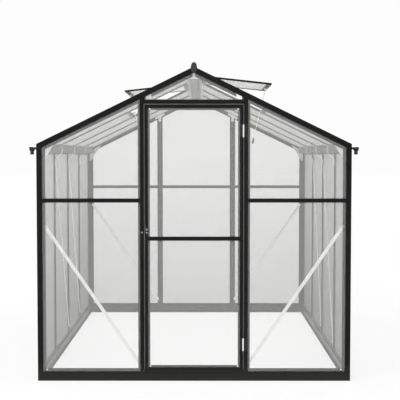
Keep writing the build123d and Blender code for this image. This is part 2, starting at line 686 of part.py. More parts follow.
with BuildPart() as vent_lower_rail:
    origin = leaf_point(VENT_LENGTH, 0) + BACK * (VENT_WIDTH / 2 - VENT_STILE)
    with BuildSketch(section_plane(origin, -LEAF_DOWN, LEAF_UNDER)):
        edge_section(VENT_LOWER_RAIL)
    extrude(amount=VENT_WIDTH - 2 * VENT_STILE)

with BuildPart() as vent_top_rail:
    origin = leaf_point(0, VENT_RISE) - BACK * (VENT_WIDTH / 2 - VENT_STILE)
    with BuildSketch(section_plane(origin, LEAF_DOWN, LEAF_UNDER)):
        Circle(CLAW)
        Circle(CLAW - CLAW_WALL, mode=Mode.SUBTRACT)
        strip((-2 * CLAW, -CLAW), (0, WALL), Mode.SUBTRACT)
        for low in (-VENT_RISE, FLANGE_OUT - VENT_RISE):
            strip((CLAW - CLAW_WALL / 2, low), (CLAW + VENT_TOP_RAIL, low + WALL))
        strip((CLAW - CLAW_WALL / 2, -VENT_RISE), (CLAW + CLAW_WALL / 2, FLANGE_IN - VENT_RISE))
    extrude(amount=VENT_WIDTH - 2 * VENT_STILE)

with BuildPart() as vent_pane:
    start = CLAW + CLAW_WALL / 2 + EDGE_CLEARANCE
    stop = VENT_LENGTH - WALL - EDGE_CLEARANCE
    origin = leaf_point((start + stop) / 2, FLANGE_OUT - PANE)
    with BuildSketch(Plane(origin=origin, x_dir=LEAF_DOWN, z_dir=LEAF_UNDER)):
        Rectangle(stop - start, VENT_WIDTH - 2 * (WALL + EDGE_CLEARANCE))
    extrude(amount=PANE)

STAY_DOWN = Vector(-math.sin(math.radians(STAY_LEAN)), 0, -math.cos(math.radians(STAY_LEAN)))
STAY_OUT = BACK.cross(STAY_DOWN)
STAY_HEAD = leaf_point(VENT_LENGTH - STAY_INSET, FLANGE_IN)
PEG_FOOT = roof_point(CROSS_BAR, ROOF_SINK + FLANGE_OUT - PANE / 2)
PEG_ALONG = (PEG_FOOT - STAY_HEAD).dot(STAY_DOWN)
PEG_REACH = (STAY_HEAD - PEG_FOOT).dot(STAY_OUT) + STAY_THICKNESS / 2 + PEG_END

with BuildPart() as vent_stay:
    middle = (STAY_START + STAY_LENGTH) / 2
    with BuildSketch(Plane(origin=STAY_HEAD + STAY_DOWN * middle, x_dir=STAY_DOWN, z_dir=STAY_OUT)):
        SlotOverall(STAY_LENGTH - STAY_START, STAY_WIDTH)
        with Locations([(PEG_ALONG - middle + step * STAY_HOLE_PITCH, 0) for step in (-1, 0, 1)]):
            Circle(STAY_HOLE, mode=Mode.SUBTRACT)
    extrude(amount=STAY_THICKNESS / 2, both=True)

with BuildPart() as stay_bracket:
    origin = leaf_point(VENT_LENGTH - STAY_INSET - BRACKET_LENGTH / 2, 0)
    with BuildSketch(section_plane(origin, BACK, LEAF_UNDER)):
        outer = STAY_WIDTH / 2 + PLATE
        strip((-outer, FLANGE_IN), (outer, FLANGE_IN + PLATE))
        strip((-outer, FLANGE_IN), (-STAY_WIDTH / 2, FLANGE_IN + BRACKET_DROP))
        strip((STAY_WIDTH / 2, FLANGE_IN), (outer, FLANGE_IN + BRACKET_DROP))
    extrude(amount=-BRACKET_LENGTH)

with BuildPart() as roof_vent_stiles:
    in_both_bays(vent_stiles.part)

with BuildPart() as roof_vent_rails:
    in_both_bays(vent_lower_rail.part)
    in_both_bays(vent_top_rail.part)

with BuildPart() as roof_vent_panes:
    in_both_bays(vent_pane.part)

with BuildPart() as roof_vent_stays:
    in_both_bays(vent_stay.part)

with BuildPart() as roof_vent_brackets:
    in_both_bays(stay_bracket.part)


def cross_bar(start, stop, peg):
    """Bar under a vent's opening on the right slope, with the peg that the stay drops on."""
    with BuildPart() as bar:
        origin = roof_point(CROSS_BAR, ROOF_SINK) + BACK * start
        with BuildSketch(section_plane(origin, DOWN_SLOPE, UNDER_ROOF)):
            strip((0, 0), (CROSS_BAR_CAP, WALL))
            strip((0, 0), (WALL, FLANGE_IN))
            strip((0, FLANGE_OUT), (CROSS_BAR_CAP, FLANGE_IN))
            channel(CROSS_BAR_CAP - CHANNEL_WIDTH / 2)
        extrude(amount=stop - start)
        with BuildSketch(Plane(origin=PEG_FOOT - STAY_OUT * (WALL / 2) + BACK * peg, z_dir=STAY_OUT)):
            Circle(PEG_RADIUS)
        extrude(amount=PEG_REACH + WALL / 2)
    return bar.part


FRONT_BAY = (RAFTER_DEPTH - HALF_LENGTH, SIDE_BARS[0] - FLANGE / 2)
SECOND_BAY = (SIDE_BARS[0] + FLANGE / 2, SIDE_BARS[1] - FLANGE / 2)

with BuildPart() as vent_cross_bars:
    add(cross_bar(*FRONT_BAY, RIGHT_VENT_Y))
    mirror(cross_bar(*SECOND_BAY, LEFT_VENT_Y), about=Plane.YZ)


def cross_bar_lugs(ends):
    """Flat lugs under both ends of a cross bar, across to the bars beside it."""
    with BuildPart() as lugs:
        for end, inward in zip(ends, (1, -1)):
            middle = end + inward * (LUG_LENGTH / 2 - LUG_BEARING)
            along = CROSS_BAR + CROSS_BAR_CAP - CHANNEL_WIDTH / 2
            origin = roof_point(along, FACE) + BACK * middle
            with BuildSketch(Plane(origin=origin, x_dir=DOWN_SLOPE, z_dir=UNDER_ROOF)):
                Rectangle(LUG_WIDTH, LUG_LENGTH)
            extrude(amount=PLATE)
    return lugs.part


with BuildPart() as cross_bar_brackets:
    add(cross_bar_lugs(FRONT_BAY))
    mirror(cross_bar_lugs(SECOND_BAY), about=Plane.YZ)

# Flat braces across the corners of the walls, on the flanges of the posts and bars
def brace(start, stop):
    """A flat strip with round ends, from one point to another of the sketch."""
    across, up = stop[0] - start[0], stop[1] - start[1]
    with Locations(((start[0] + stop[0]) / 2, (start[1] + stop[1]) / 2)):
        SlotOverall(math.hypot(across, up), BRACE_WIDTH, rotation=math.degrees(math.atan2(up, across)))


with BuildPart() as gable_braces:
    with BuildSketch(front_layer(FLANGE_IN + PLATE)):
        brace(
            (DOOR_BAY / 2 + FLANGE / 2 - BRACE_BEARING, BRACE_BOTTOM),
            (HALF_WIDTH - FACE - LIP + BRACE_BEARING, BRACE_TOP),
        )
    extrude(amount=PLATE)
    mirror(about=Plane.YZ)
    mirror(about=Plane.XZ)

BRACED_BAYS = [
    (bar + FLANGE / 2 - BRACE_BEARING, bar + BAY - FLANGE / 2 + BRACE_BEARING) for bar in SIDE_BARS[:-1]
]

with BuildPart() as side_braces:
    with BuildSketch(side_layer(FLANGE_IN + PLATE)):
        for front, rear in BRACED_BAYS:
            brace((front, SIDE_BRACE_BOTTOM), (rear, SIDE_BRACE_TOP))
    extrude(amount=PLATE)
    other_side = mirror(mirror(about=Plane.YZ, mode=Mode.PRIVATE), about=Plane.XZ, mode=Mode.PRIVATE)
    add(other_side)

# Plates and brackets that join the frame
with BuildPart() as eaves_gussets:
    with BuildSketch(front_layer(CHANNEL_IN + PLATE)):
        under = ROOF_SINK + FLANGE_IN
        outer = HALF_WIDTH - STOP + WALL / 2
        inner = outer - GUSSET_LEG
        low = roof_height(outer, under) - GUSSET_LEG
        Polygon(
            (outer, roof_height(outer, under)),
            (inner, roof_height(inner, under)),
            (inner, roof_height(inner, under + CHANNEL_WIDTH)),
            (outer - CHANNEL_WIDTH, low),
            (outer, low),
            align=None,
        )
    extrude(amount=PLATE)
    mirror(about=Plane.YZ)
    mirror(about=Plane.XZ)

with BuildPart() as corner_plates:
    with BuildSketch(front_layer(0)):
        inner = HALF_WIDTH - CORNER_PLATE_LEG
        Polygon(
            (HALF_WIDTH, EAVES_HEIGHT),
            (inner, roof_height(inner)),
            (inner, roof_height(inner, FACE)),
            (HALF_WIDTH - FACE, EAVES_HEIGHT - CORNER_PLATE_LEG),
            (HALF_WIDTH, EAVES_HEIGHT - CORNER_PLATE_LEG),
            align=None,
        )
    extrude(amount=PLATE)
    mirror(about=Plane.YZ)
    mirror(about=Plane.XZ)

with BuildPart() as ridge_gussets:
    with BuildSketch(front_layer(CHANNEL_IN + PLATE)):
        half = RIDGE_GUSSET_WIDTH / 2
        under = ROOF_SINK + FLANGE_IN
        Polygon(
            (0, roof_height(0, under)),
            (half, roof_height(half, under)),
            (half, APEX_HEIGHT - RIDGE_GUSSET_DROP),
            (-half, APEX_HEIGHT - RIDGE_GUSSET_DROP),
            (-half, roof_height(half, under)),
            align=None,
        )
    extrude(amount=PLATE)
    mirror(about=Plane.XZ)

with BuildPart() as stud_brackets:
    with BuildSketch(front_layer(CHANNEL_IN + PLATE)):
        under = ROOF_SINK + FLANGE_IN
        left = DOOR_BAY / 2 - BRACKET_ARM
        right = DOOR_BAY / 2 + BRACKET_ARM
        Polygon(
            (left, roof_height(left, under)),
            (right, roof_height(right, under)),
            (right, roof_height(right, under + BRACKET_WIDTH)),
            (left, roof_height(left, under + BRACKET_WIDTH)),
            align=None,
        )
        top = roof_height(DOOR_BAY / 2, under + BRACKET_WIDTH / 2)
        strip(
            ((DOOR_BAY - BRACKET_WIDTH) / 2, top - BRACKET_STEM),
            ((DOOR_BAY + BRACKET_WIDTH) / 2, top),
        )
    extrude(amount=PLATE)
    mirror(about=Plane.YZ)
    mirror(about=Plane.XZ, mode=Mode.REPLACE)

# Straps from the wall bars over the eaves beam to the roof bars
with BuildPart() as eaves_straps:
    for bar in SIDE_BARS:
        with BuildSketch(Plane.XZ.offset(-bar - STRAP_WIDTH / 2)):
            with BuildLine():
                on_bar = HALF_WIDTH - CHANNEL_IN - PLATE / 2
                on_beam = HALF_WIDTH - EAVES_DEPTH - PLATE / 2
                on_roof = on_beam - STRAP_ROOF_LEG
                bend = EAVES_BOTTOM - STRAP_BEND_DROP
                Polyline(
                    (on_bar, bend - STRAP_WALL_LEG),
                    (on_bar, bend),
                    (on_beam, EAVES_BOTTOM - 2 * PLATE),
                    (on_beam, roof_height(on_beam, FACE + PLATE / 2)),
                    (on_roof, roof_height(on_roof, FACE + PLATE / 2)),
                )
            trace(line_width=PLATE)
        extrude(amount=STRAP_WIDTH)
    mirror(about=Plane.YZ)

# Twin-wall sheets
END_EDGE = STOP + EDGE_CLEARANCE
BAR_EDGE = WEB / 2 + EDGE_CLEARANCE
SHEET_BOTTOM = BASE_FACE - GRIP + EDGE_CLEARANCE
SHEET_UNDER_ROOF = ROOF_SINK + FLANGE_IN + EDGE_CLEARANCE

with BuildPart() as side_panes:
    with BuildSketch(side_layer(FLANGE_OUT)):
        for start, stop in side_spans(END_EDGE, BAR_EDGE):
            strip((start, SHEET_BOTTOM), (stop, EAVES_BOTTOM - EDGE_CLEARANCE))
    extrude(amount=PANE)
    mirror(about=Plane.YZ)


def slope_panes(vent_bay):
    """The right slope's sheets. In the bay of the vent the sheet starts under the cross bar."""
    with BuildPart() as panes:
        for bay, (front, rear) in enumerate(side_spans(END_EDGE, BAR_EDGE)):
            top = CROSS_BAR + WALL if bay == vent_bay else RIDGE_STOP
            start = top + EDGE_CLEARANCE
            origin = roof_point((start + ROOF_END) / 2, ROOF_SINK + PANE_OUT) + BACK * ((front + rear) / 2)
            with BuildSketch(Plane(origin=origin, x_dir=DOWN_SLOPE, z_dir=UNDER_ROOF)):
                Rectangle(ROOF_END - start, rear - front)
            extrude(amount=PANE)
    return panes.part


with BuildPart() as roof_panes:
    add(slope_panes(0))
    mirror(slope_panes(1), about=Plane.YZ)


def gable_sheet(left, right, low):
    """A sheet up to the rafters, from its lower edge; across the middle it has a peak."""
    points = [(left, low), (right, low), (right, roof_height(abs(right), SHEET_UNDER_ROOF))]
    if left < 0 < right:
        points.append((0, roof_height(0, SHEET_UNDER_ROOF)))
    points.append((left, roof_height(abs(left), SHEET_UNDER_ROOF)))
    Polygon(*points, align=None)


RAIL_EDGE = WEB / 2 + EDGE_CLEARANCE

with BuildPart() as front_panes:
    with BuildSketch(front_layer(FLANGE_OUT)):
        left, right = JAMB + WALL + EDGE_CLEARANCE, HALF_WIDTH - END_EDGE
        strip((left, SHEET_BOTTOM), (right, MID_RAIL_HEIGHT - RAIL_EDGE))
        gable_sheet(left, right, MID_RAIL_HEIGHT + RAIL_EDGE)
    extrude(amount=PANE)
    mirror(about=Plane.YZ)

with BuildPart() as gable_pane:
    with BuildSketch(front_layer(FLANGE_OUT)):
        half = JAMB - EDGE_CLEARANCE
        gable_sheet(-half, half, HEADER_TOP - GRIP + EDGE_CLEARANCE)
    extrude(amount=PANE)

with BuildPart() as rear_panes:
    with BuildSketch(front_layer(FLANGE_OUT)):
        for left, right in (
            (END_EDGE - HALF_WIDTH, -DOOR_BAY / 2 - BAR_EDGE),
            (BAR_EDGE - DOOR_BAY / 2, DOOR_BAY / 2 - BAR_EDGE),
            (DOOR_BAY / 2 + BAR_EDGE, HALF_WIDTH - END_EDGE),
        ):
            strip((left, SHEET_BOTTOM), (right, MID_RAIL_HEIGHT - RAIL_EDGE))
            gable_sheet(left, right, MID_RAIL_HEIGHT + RAIL_EDGE)
    extrude(amount=PANE)
    mirror(about=Plane.XZ, mode=Mode.REPLACE)


# Door leaf
def door_edge(face):
    """Edge of the door's frame: X goes in from its edge, Y into the house."""
    strip((0, 0), (face, WALL))
    strip((0, 0), (WALL, DOOR_DEPTH))
    strip((0, FLANGE_OUT), (face + DOOR_LIP, FLANGE_IN))
    strip((0, DOOR_DEPTH - WALL), (DOOR_RETURN, DOOR_DEPTH))


with BuildPart() as door_stiles:
    with BuildSketch(section_plane(Vector(-DOOR_HALF, -HALF_LENGTH, DOOR_BOTTOM), RIGHT, BACK)):
        door_edge(DOOR_STILE)
    extrude(amount=DOOR_TOP - DOOR_BOTTOM)
    mirror(about=Plane.YZ)

INNER_LIP = DOOR_HALF - DOOR_STILE - DOOR_LIP
INNER_CAP = DOOR_HALF - DOOR_STILE

with BuildPart() as door_rails:
    with BuildSketch(section_plane(Vector(-INNER_LIP, -HALF_LENGTH, DOOR_TOP), -UP, BACK)):
        door_edge(DOOR_RAIL)
    extrude(amount=2 * INNER_LIP)
    with BuildSketch(section_plane(Vector(INNER_LIP, -HALF_LENGTH, DOOR_BOTTOM), UP, BACK)):
        door_edge(DOOR_RAIL)
    extrude(amount=2 * INNER_LIP)
    with BuildSketch(section_plane(Vector(INNER_LIP, -HALF_LENGTH, DOOR_MID_RAIL_HEIGHT), UP, BACK)):
        bar_section(MID_RAIL, MID_RAIL)
    extrude(amount=2 * INNER_LIP)
    with BuildSketch(front_layer(WALL)):
        strip((-INNER_CAP, DOOR_TOP - DOOR_RAIL), (INNER_CAP, DOOR_TOP))
        strip((-INNER_CAP, DOOR_BOTTOM), (INNER_CAP, DOOR_BOTTOM + DOOR_RAIL))
        strip(
            (-INNER_CAP, DOOR_MID_RAIL_HEIGHT - MID_RAIL / 2),
            (INNER_CAP, DOOR_MID_RAIL_HEIGHT + MID_RAIL / 2),
        )
    extrude(amount=WALL)

with BuildPart() as door_panes:
    with BuildSketch(front_layer(FLANGE_OUT)):
        half = DOOR_HALF - WALL - EDGE_CLEARANCE
        low, high = DOOR_BOTTOM + WALL + EDGE_CLEARANCE, DOOR_TOP - WALL - EDGE_CLEARANCE
        strip((-half, low), (half, DOOR_MID_RAIL_HEIGHT - RAIL_EDGE))
        strip((-half, DOOR_MID_RAIL_HEIGHT + RAIL_EDGE), (half, high))
    extrude(amount=PANE)

# Hinges on the right jamb: two knuckles and the pin on the post, one knuckle on the door
HINGE_X = DOOR_HALF + HINGE_OFFSET
HINGE_Y = -HALF_LENGTH - HINGE_RADIUS
KNUCKLE = HINGE_LENGTH / 3


with BuildPart() as hinge_post_leaves:
    for height in HINGE_HEIGHTS:
        low, high = height - HINGE_LENGTH / 2, height + HINGE_LENGTH / 2
        for foot in (low, high - KNUCKLE):
            with BuildSketch(Plane.XY.offset(foot)):
                with Locations((HINGE_X, HINGE_Y)):
                    Circle(HINGE_RADIUS)
                strip((HINGE_X, -HALF_LENGTH - HINGE_PLATE), (JAMB + CAP, -HALF_LENGTH))
            extrude(amount=KNUCKLE)
        with BuildSketch(Plane.XY.offset(low)):
            strip((JAMB, -HALF_LENGTH - HINGE_PLATE), (JAMB + CAP, -HALF_LENGTH))
            with Locations((HINGE_X, HINGE_Y)):
                Circle(HINGE_PIN)
        extrude(amount=high - low)

with BuildPart() as hinge_door_leaves:
    for height in HINGE_HEIGHTS:
        low = height - KNUCKLE / 2 + KNUCKLE_CLEARANCE
        with BuildSketch(Plane.XY.offset(low)):
            with Locations((HINGE_X, HINGE_Y)):
                Circle(HINGE_RADIUS)
            strip((DOOR_HALF - HINGE_PLATE_WIDTH, -HALF_LENGTH - HINGE_PLATE), (HINGE_X, -HALF_LENGTH))
            with Locations((HINGE_X, HINGE_Y)):
                Circle(HINGE_BORE, mode=Mode.SUBTRACT)
        extrude(amount=KNUCKLE - 2 * KNUCKLE_CLEARANCE)
        with BuildSketch(Plane.XY.offset(height - HINGE_LENGTH / 2)):
            strip(
                (DOOR_HALF - HINGE_PLATE_WIDTH, -HALF_LENGTH - HINGE_PLATE),
                (HINGE_X - HINGE_RADIUS - HINGE_OFFSET, -HALF_LENGTH),
            )
        extrude(amount=HINGE_LENGTH)

# Latch at the left: a plate with an upright tongue on the door, a keeper on the post
with BuildPart() as door_latch:
    with BuildSketch(front_layer(0)):
        strip(
            (-DOOR_HALF, LATCH_HEIGHT),
            (LATCH_PLATE_WIDTH - DOOR_HALF, LATCH_HEIGHT + LATCH_PLATE_HEIGHT),
        )
    extrude(amount=PLATE)
    with BuildSketch(front_layer(-PLATE)):
        tongue = -DOOR_HALF - LATCH_TONGUE_REACH
        strip((tongue, LATCH_HEIGHT), (tongue + LATCH_TONGUE_WIDTH, LATCH_HEIGHT + LATCH_TONGUE_HEIGHT))
    extrude(amount=LATCH_TONGUE_DEPTH)

with BuildPart() as latch_keeper:
    with BuildSketch(front_layer(0)):
        strip((-JAMB - KEEPER_WIDTH, LATCH_HEIGHT), (-JAMB, LATCH_HEIGHT + KEEPER_HEIGHT))
    extrude(amount=PLATE)

# Labels and files of the finished pieces
base_front.part.label = "base_front"
export_step(base_front.part, "parts/base_front.step")
base_rear.part.label = "base_rear"
export_step(base_rear.part, "parts/base_rear.step")
base_left.part.label = "base_left"
export_step(base_left.part, "parts/base_left.step")
base_right.part.label = "base_right"
export_step(base_right.part, "parts/base_right.step")
corner_posts.part.label = "corner_posts"
export_step(corner_posts.part, "parts/corner_posts.step")
door_posts.part.label = "door_posts"
export_step(door_posts.part, "parts/door_posts.step")
door_header.part.label = "door_header"
export_step(door_header.part, "parts/door_header.step")
rear_studs.part.label = "rear_studs"
export_step(rear_studs.part, "parts/rear_studs.step")
front_mid_rails.part.label = "front_mid_rails"
export_step(front_mid_rails.part, "parts/front_mid_rails.step")
rear_mid_rails.part.label = "rear_mid_rails"
export_step(rear_mid_rails.part, "parts/rear_mid_rails.step")
left_rafters.part.label = "left_rafters"
export_step(left_rafters.part, "parts/left_rafters.step")
right_rafters.part.label = "right_rafters"
export_step(right_rafters.part, "parts/right_rafters.step")
ridge_beam.part.label = "ridge_beam"
export_step(ridge_beam.part, "parts/ridge_beam.step")
ridge_end_caps.part.label = "ridge_end_caps"
export_step(ridge_end_caps.part, "parts/ridge_end_caps.step")
left_eaves_beam.part.label = "left_eaves_beam"
export_step(left_eaves_beam.part, "parts/left_eaves_beam.step")
right_eaves_beam.part.label = "right_eaves_beam"
export_step(right_eaves_beam.part, "parts/right_eaves_beam.step")
gutter_spouts.part.label = "gutter_spouts"
export_step(gutter_spouts.part, "parts/gutter_spouts.step")
wall_bars.part.label = "wall_bars"
export_step(wall_bars.part, "parts/wall_bars.step")
roof_bars.part.label = "roof_bars"
export_step(roof_bars.part, "parts/roof_bars.step")
roof_vent_stiles.part.label = "roof_vent_stiles"
export_step(roof_vent_stiles.part, "parts/roof_vent_stiles.step")
roof_vent_rails.part.label = "roof_vent_rails"
export_step(roof_vent_rails.part, "parts/roof_vent_rails.step")
roof_vent_panes.part.label = "roof_vent_panes"
export_step(roof_vent_panes.part, "parts/roof_vent_panes.step")
roof_vent_stays.part.label = "roof_vent_stays"
export_step(roof_vent_stays.part, "parts/roof_vent_stays.step")
roof_vent_brackets.part.label = "roof_vent_brackets"
export_step(roof_vent_brackets.part, "parts/roof_vent_brackets.step")
vent_cross_bars.part.label = "vent_cross_bars"
export_step(vent_cross_bars.part, "parts/vent_cross_bars.step")
cross_bar_brackets.part.label = "cross_bar_brackets"
export_step(cross_bar_brackets.part, "parts/cross_bar_brackets.step")
gable_braces.part.label = "gable_braces"
export_step(gable_braces.part, "parts/gable_braces.step")
side_braces.part.label = "side_braces"
export_step(side_braces.part, "parts/side_braces.step")
eaves_gussets.part.label = "eaves_gussets"
export_step(eaves_gussets.part, "parts/eaves_gussets.step")
corner_plates.part.label = "corner_plates"
export_step(corner_plates.part, "parts/corner_plates.step")
ridge_gussets.part.label = "ridge_gussets"
export_step(ridge_gussets.part, "parts/ridge_gussets.step")
stud_brackets.part.label = "stud_brackets"
export_step(stud_brackets.part, "parts/stud_brackets.step")
eaves_straps.part.label = "eaves_straps"
export_step(eaves_straps.part, "parts/eaves_straps.step")
side_panes.part.label = "side_panes"
export_step(side_panes.part, "parts/side_panes.step")
roof_panes.part.label = "roof_panes"
export_step(roof_panes.part, "parts/roof_panes.step")
front_panes.part.label = "front_panes"
export_step(front_panes.part, "parts/front_panes.step")
gable_pane.part.label = "gable_pane"
export_step(gable_pane.part, "parts/gable_pane.step")
rear_panes.part.label = "rear_panes"
export_step(rear_panes.part, "parts/rear_panes.step")
door_stiles.part.label = "door_stiles"
export_step(door_stiles.part, "parts/door_stiles.step")
door_rails.part.label = "door_rails"
export_step(door_rails.part, "parts/door_rails.step")
door_panes.part.label = "door_panes"
export_step(door_panes.part, "parts/door_panes.step")
hinge_post_leaves.part.label = "hinge_post_leaves"
export_step(hinge_post_leaves.part, "parts/hinge_post_leaves.step")
hinge_door_leaves.part.label = "hinge_door_leaves"
export_step(hinge_door_leaves.part, "parts/hinge_door_leaves.step")
door_latch.part.label = "door_latch"
export_step(door_latch.part, "parts/door_latch.step")
latch_keeper.part.label = "latch_keeper"
export_step(latch_keeper.part, "parts/latch_keeper.step")
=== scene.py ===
import json
import math

import bmesh
import bpy
import numpy as np
from mathutils import Matrix, Vector


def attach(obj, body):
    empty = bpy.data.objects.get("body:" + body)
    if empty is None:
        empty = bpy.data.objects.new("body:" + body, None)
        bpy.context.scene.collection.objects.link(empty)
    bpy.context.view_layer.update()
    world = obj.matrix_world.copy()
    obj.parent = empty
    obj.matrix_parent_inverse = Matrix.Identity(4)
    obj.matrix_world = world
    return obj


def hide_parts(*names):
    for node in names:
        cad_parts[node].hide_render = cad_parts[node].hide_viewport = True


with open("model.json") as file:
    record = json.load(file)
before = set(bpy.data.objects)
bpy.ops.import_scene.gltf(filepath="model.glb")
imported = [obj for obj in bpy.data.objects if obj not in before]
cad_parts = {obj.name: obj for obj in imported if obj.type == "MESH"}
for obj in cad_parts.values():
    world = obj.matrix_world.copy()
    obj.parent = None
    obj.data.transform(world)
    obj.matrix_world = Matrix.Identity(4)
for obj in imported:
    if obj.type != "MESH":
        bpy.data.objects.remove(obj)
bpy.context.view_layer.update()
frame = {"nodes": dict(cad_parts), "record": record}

# Sizes of the greenhouse, in metres
HALF_WIDTH = 0.950
HALF_LENGTH = 1.260
APEX = 1.9033
PITCH = math.radians(26.0)
BAR_LINES = (-0.620, 0.0, 0.620)
SHEET_DEPTH = 0.006
SKIN = 0.0006
FLUTE_PITCH = 0.006
RIB = 0.0005
PLATE_BACK = 0.019  # from a gable's outer face to the outer face of its joining plates
PLATE_FACE = 0.021  # and to their inner face
BRACKET_BACK = 0.0332  # from the rear gable's outer face to the outer face of the brackets' arms
BRACKET_FACE = 0.0352  # and to their inner face
BRACE_FACE = 0.0125  # from a wall's outer face to the inner face of its braces
HEADER_TOP = 1.704
EAVES_FACE = 1.380  # underside of the eaves beams' outer faces
FLANGE_IN = 0.0105  # inner side of the bars' flanges, from their outer side
ROOF_SINK = 0.014  # from the rafters' top down to the roof bars' outer side
CHANNEL_DEPTH = 0.0085
SLIM = 0.35  # share of a channel's depth that is drawn on the bars between the sheets
SLIMMER = CHANNEL_DEPTH * (1 - SLIM)  # and by how much that makes them shallower
WELD = 1e-6  # points nearer to each other than this are one
BOTH = (-1, 1)  # both sides, or both gables

DOWN_SLOPE = Vector((math.cos(PITCH), 0.0, -math.sin(PITCH)))
UNDER_ROOF = Vector((-math.sin(PITCH), 0.0, -math.cos(PITCH)))


def roof_height(x, under=0.0):
    """Height of the rafters' top over x, or of a line square below it."""
    return APEX - abs(x) * math.tan(PITCH) - under / math.cos(PITCH)


# Shader maths


class Wire:
    """An output socket of a finish, so that shader maths reads as an expression."""

    def __init__(self, finish, socket):
        self.finish = finish
        self.socket = socket

    def __add__(self, other):
        return self.finish.maths("ADD", self, other)

    def __mul__(self, other):
        return self.finish.maths("MULTIPLY", self, other)


class Finish:
    """A material under construction."""

    def __init__(self, name):
        self.material = bpy.data.materials.new(name)
        self.material.use_nodes = True
        self.tree = self.material.node_tree
        self.tree.nodes.clear()
        self.place = self.node("ShaderNodeTexCoord", out="Object")

    def node(self, kind, settings=None, sockets=None, out=0):
        """Adds a node: its settings first, then the values or links of its sockets."""
        made = self.tree.nodes.new(kind)
        for key, value in (settings or {}).items():
            setattr(made, key, value)
        for key, value in (sockets or {}).items():
            if isinstance(value, Wire):
                self.tree.links.new(value.socket, made.inputs[key])
            else:
                made.inputs[key].default_value = value
        return Wire(self, made.outputs[out]) if made.outputs else made

    def maths(self, operation, *values):
        return self.node("ShaderNodeMath", {"operation": operation}, dict(enumerate(values)))

    def clamped(self, value, low, high):
        """Value from low to high, brought to the range 0 to 1."""
        return self.node("ShaderNodeMapRange", None, {"Value": value, "From Min": low, "From Max": high})

    def blend(self, share, first, second):
        """Two colours mixed by share."""
        settings = {"data_type": "RGBA"}
        return self.node("ShaderNodeMix", settings, {"Factor": share, 6: first, 7: second}, out=2)

    def mottled(self, pattern, low, high):
        """Two colours in soft patches that follow a noise."""
        return self.blend(self.clamped(pattern, 0.3, 0.7), (*low, 1), (*high, 1))

    def noise(self, scale, detail=3.0, stretch=(1.0, 1.0, 1.0)):
        """Noise over the object's own coordinates, drawn out along an axis by a small factor there."""
        place = self.node("ShaderNodeMapping", None, {"Vector": self.place, "Scale": stretch})
        return self.node("ShaderNodeTexNoise", None, {"Vector": place, "Scale": scale, "Detail": detail})

    def along(self, axis):
        """The object's own coordinate on one axis."""
        return self.node("ShaderNodeSeparateXYZ", None, {"Vector": self.place}, out=axis)

    def height(self):
        return self.along("Z")

    def bump(self, height, strength, distance, normal=None):
        sockets = {"Height": height, "Strength": strength, "Distance": distance}
        if normal:
            sockets["Normal"] = normal
        return self.node("ShaderNodeBump", None, sockets)

    def surface(self, **sockets):
        """Ends the material with one shader."""
        named = {key.replace("_", " "): value for key, value in sockets.items()}
        shader = self.node("ShaderNodeBsdfPrincipled", None, named)
        self.node("ShaderNodeOutputMaterial", None, {"Surface": shader})
        return self.material


def powder_coat(name, low, high, gloss):
    """Stoved powder on aluminium: orange peel, dust on what faces up, and a lighter colour towards the
    ground.
    """
    finish = Finish(name)
    patches = finish.noise(6.0, 4.0)
    grain = finish.noise(1400.0, 2.0)
    peel = finish.noise(260.0, 2.0)
    facing = finish.node("ShaderNodeNewGeometry", out="Normal")
    upward = finish.node("ShaderNodeSeparateXYZ", None, {"Vector": facing}, out="Z")
    dust = finish.clamped(upward, 0.55, 1.0) * finish.clamped(patches, 0.35, 0.7) * 0.5
    colour = finish.mottled(patches, low, high)
    # Lighter towards the ground: below about 14 cm the colour turns a lighter grey.
    lighter_near_ground = finish.clamped(finish.height() + patches * 0.04, 0.14, 0.04) * 0.22
    colour = finish.blend(dust, colour, (0.075, 0.072, 0.068, 1))
    colour = finish.blend(lighter_near_ground, colour, (0.075, 0.074, 0.068, 1))
    rough = finish.clamped(patches, 0.2, 0.8) * 0.10 + gloss + dust * 0.3
    relief = finish.bump(peel, 0.10, 0.0004, finish.bump(grain, 0.12, 0.0001))
    return finish.surface(Base_Color=colour, Roughness=rough, IOR=1.2, Normal=relief)


def mill_aluminium(name, low, high, gloss, metal):
    """Bare metal strip: drawn lines along it and a cloudy oxide."""
    finish = Finish(name)
    clouds = finish.noise(30.0, 4.0)
    lines = finish.noise(900.0, 2.0, (1.0, 1.0, 0.02))
    colour = finish.mottled(clouds, low, high)
    rough = finish.clamped(clouds, 0.2, 0.8) * 0.15 + finish.clamped(lines, 0.3, 0.7) * 0.08 + gloss
    relief = finish.bump(lines, 0.15, 0.0001)
    return finish.surface(Base_Color=colour, Roughness=rough, Metallic=metal, Normal=relief)


def moulded_plastic(name, low, high, gloss):
    """Injection moulded plastic: fine spark-eroded texture."""
    finish = Finish(name)
    grain = finish.noise(900.0, 3.0)
    patches = finish.noise(25.0, 3.0)
    colour = finish.mottled(patches, low, high)
    rough = finish.clamped(grain, 0.3, 0.7) * 0.12 + gloss
    return finish.surface(Base_Color=colour, Roughness=rough, Normal=finish.bump(grain, 0.2, 0.0002))


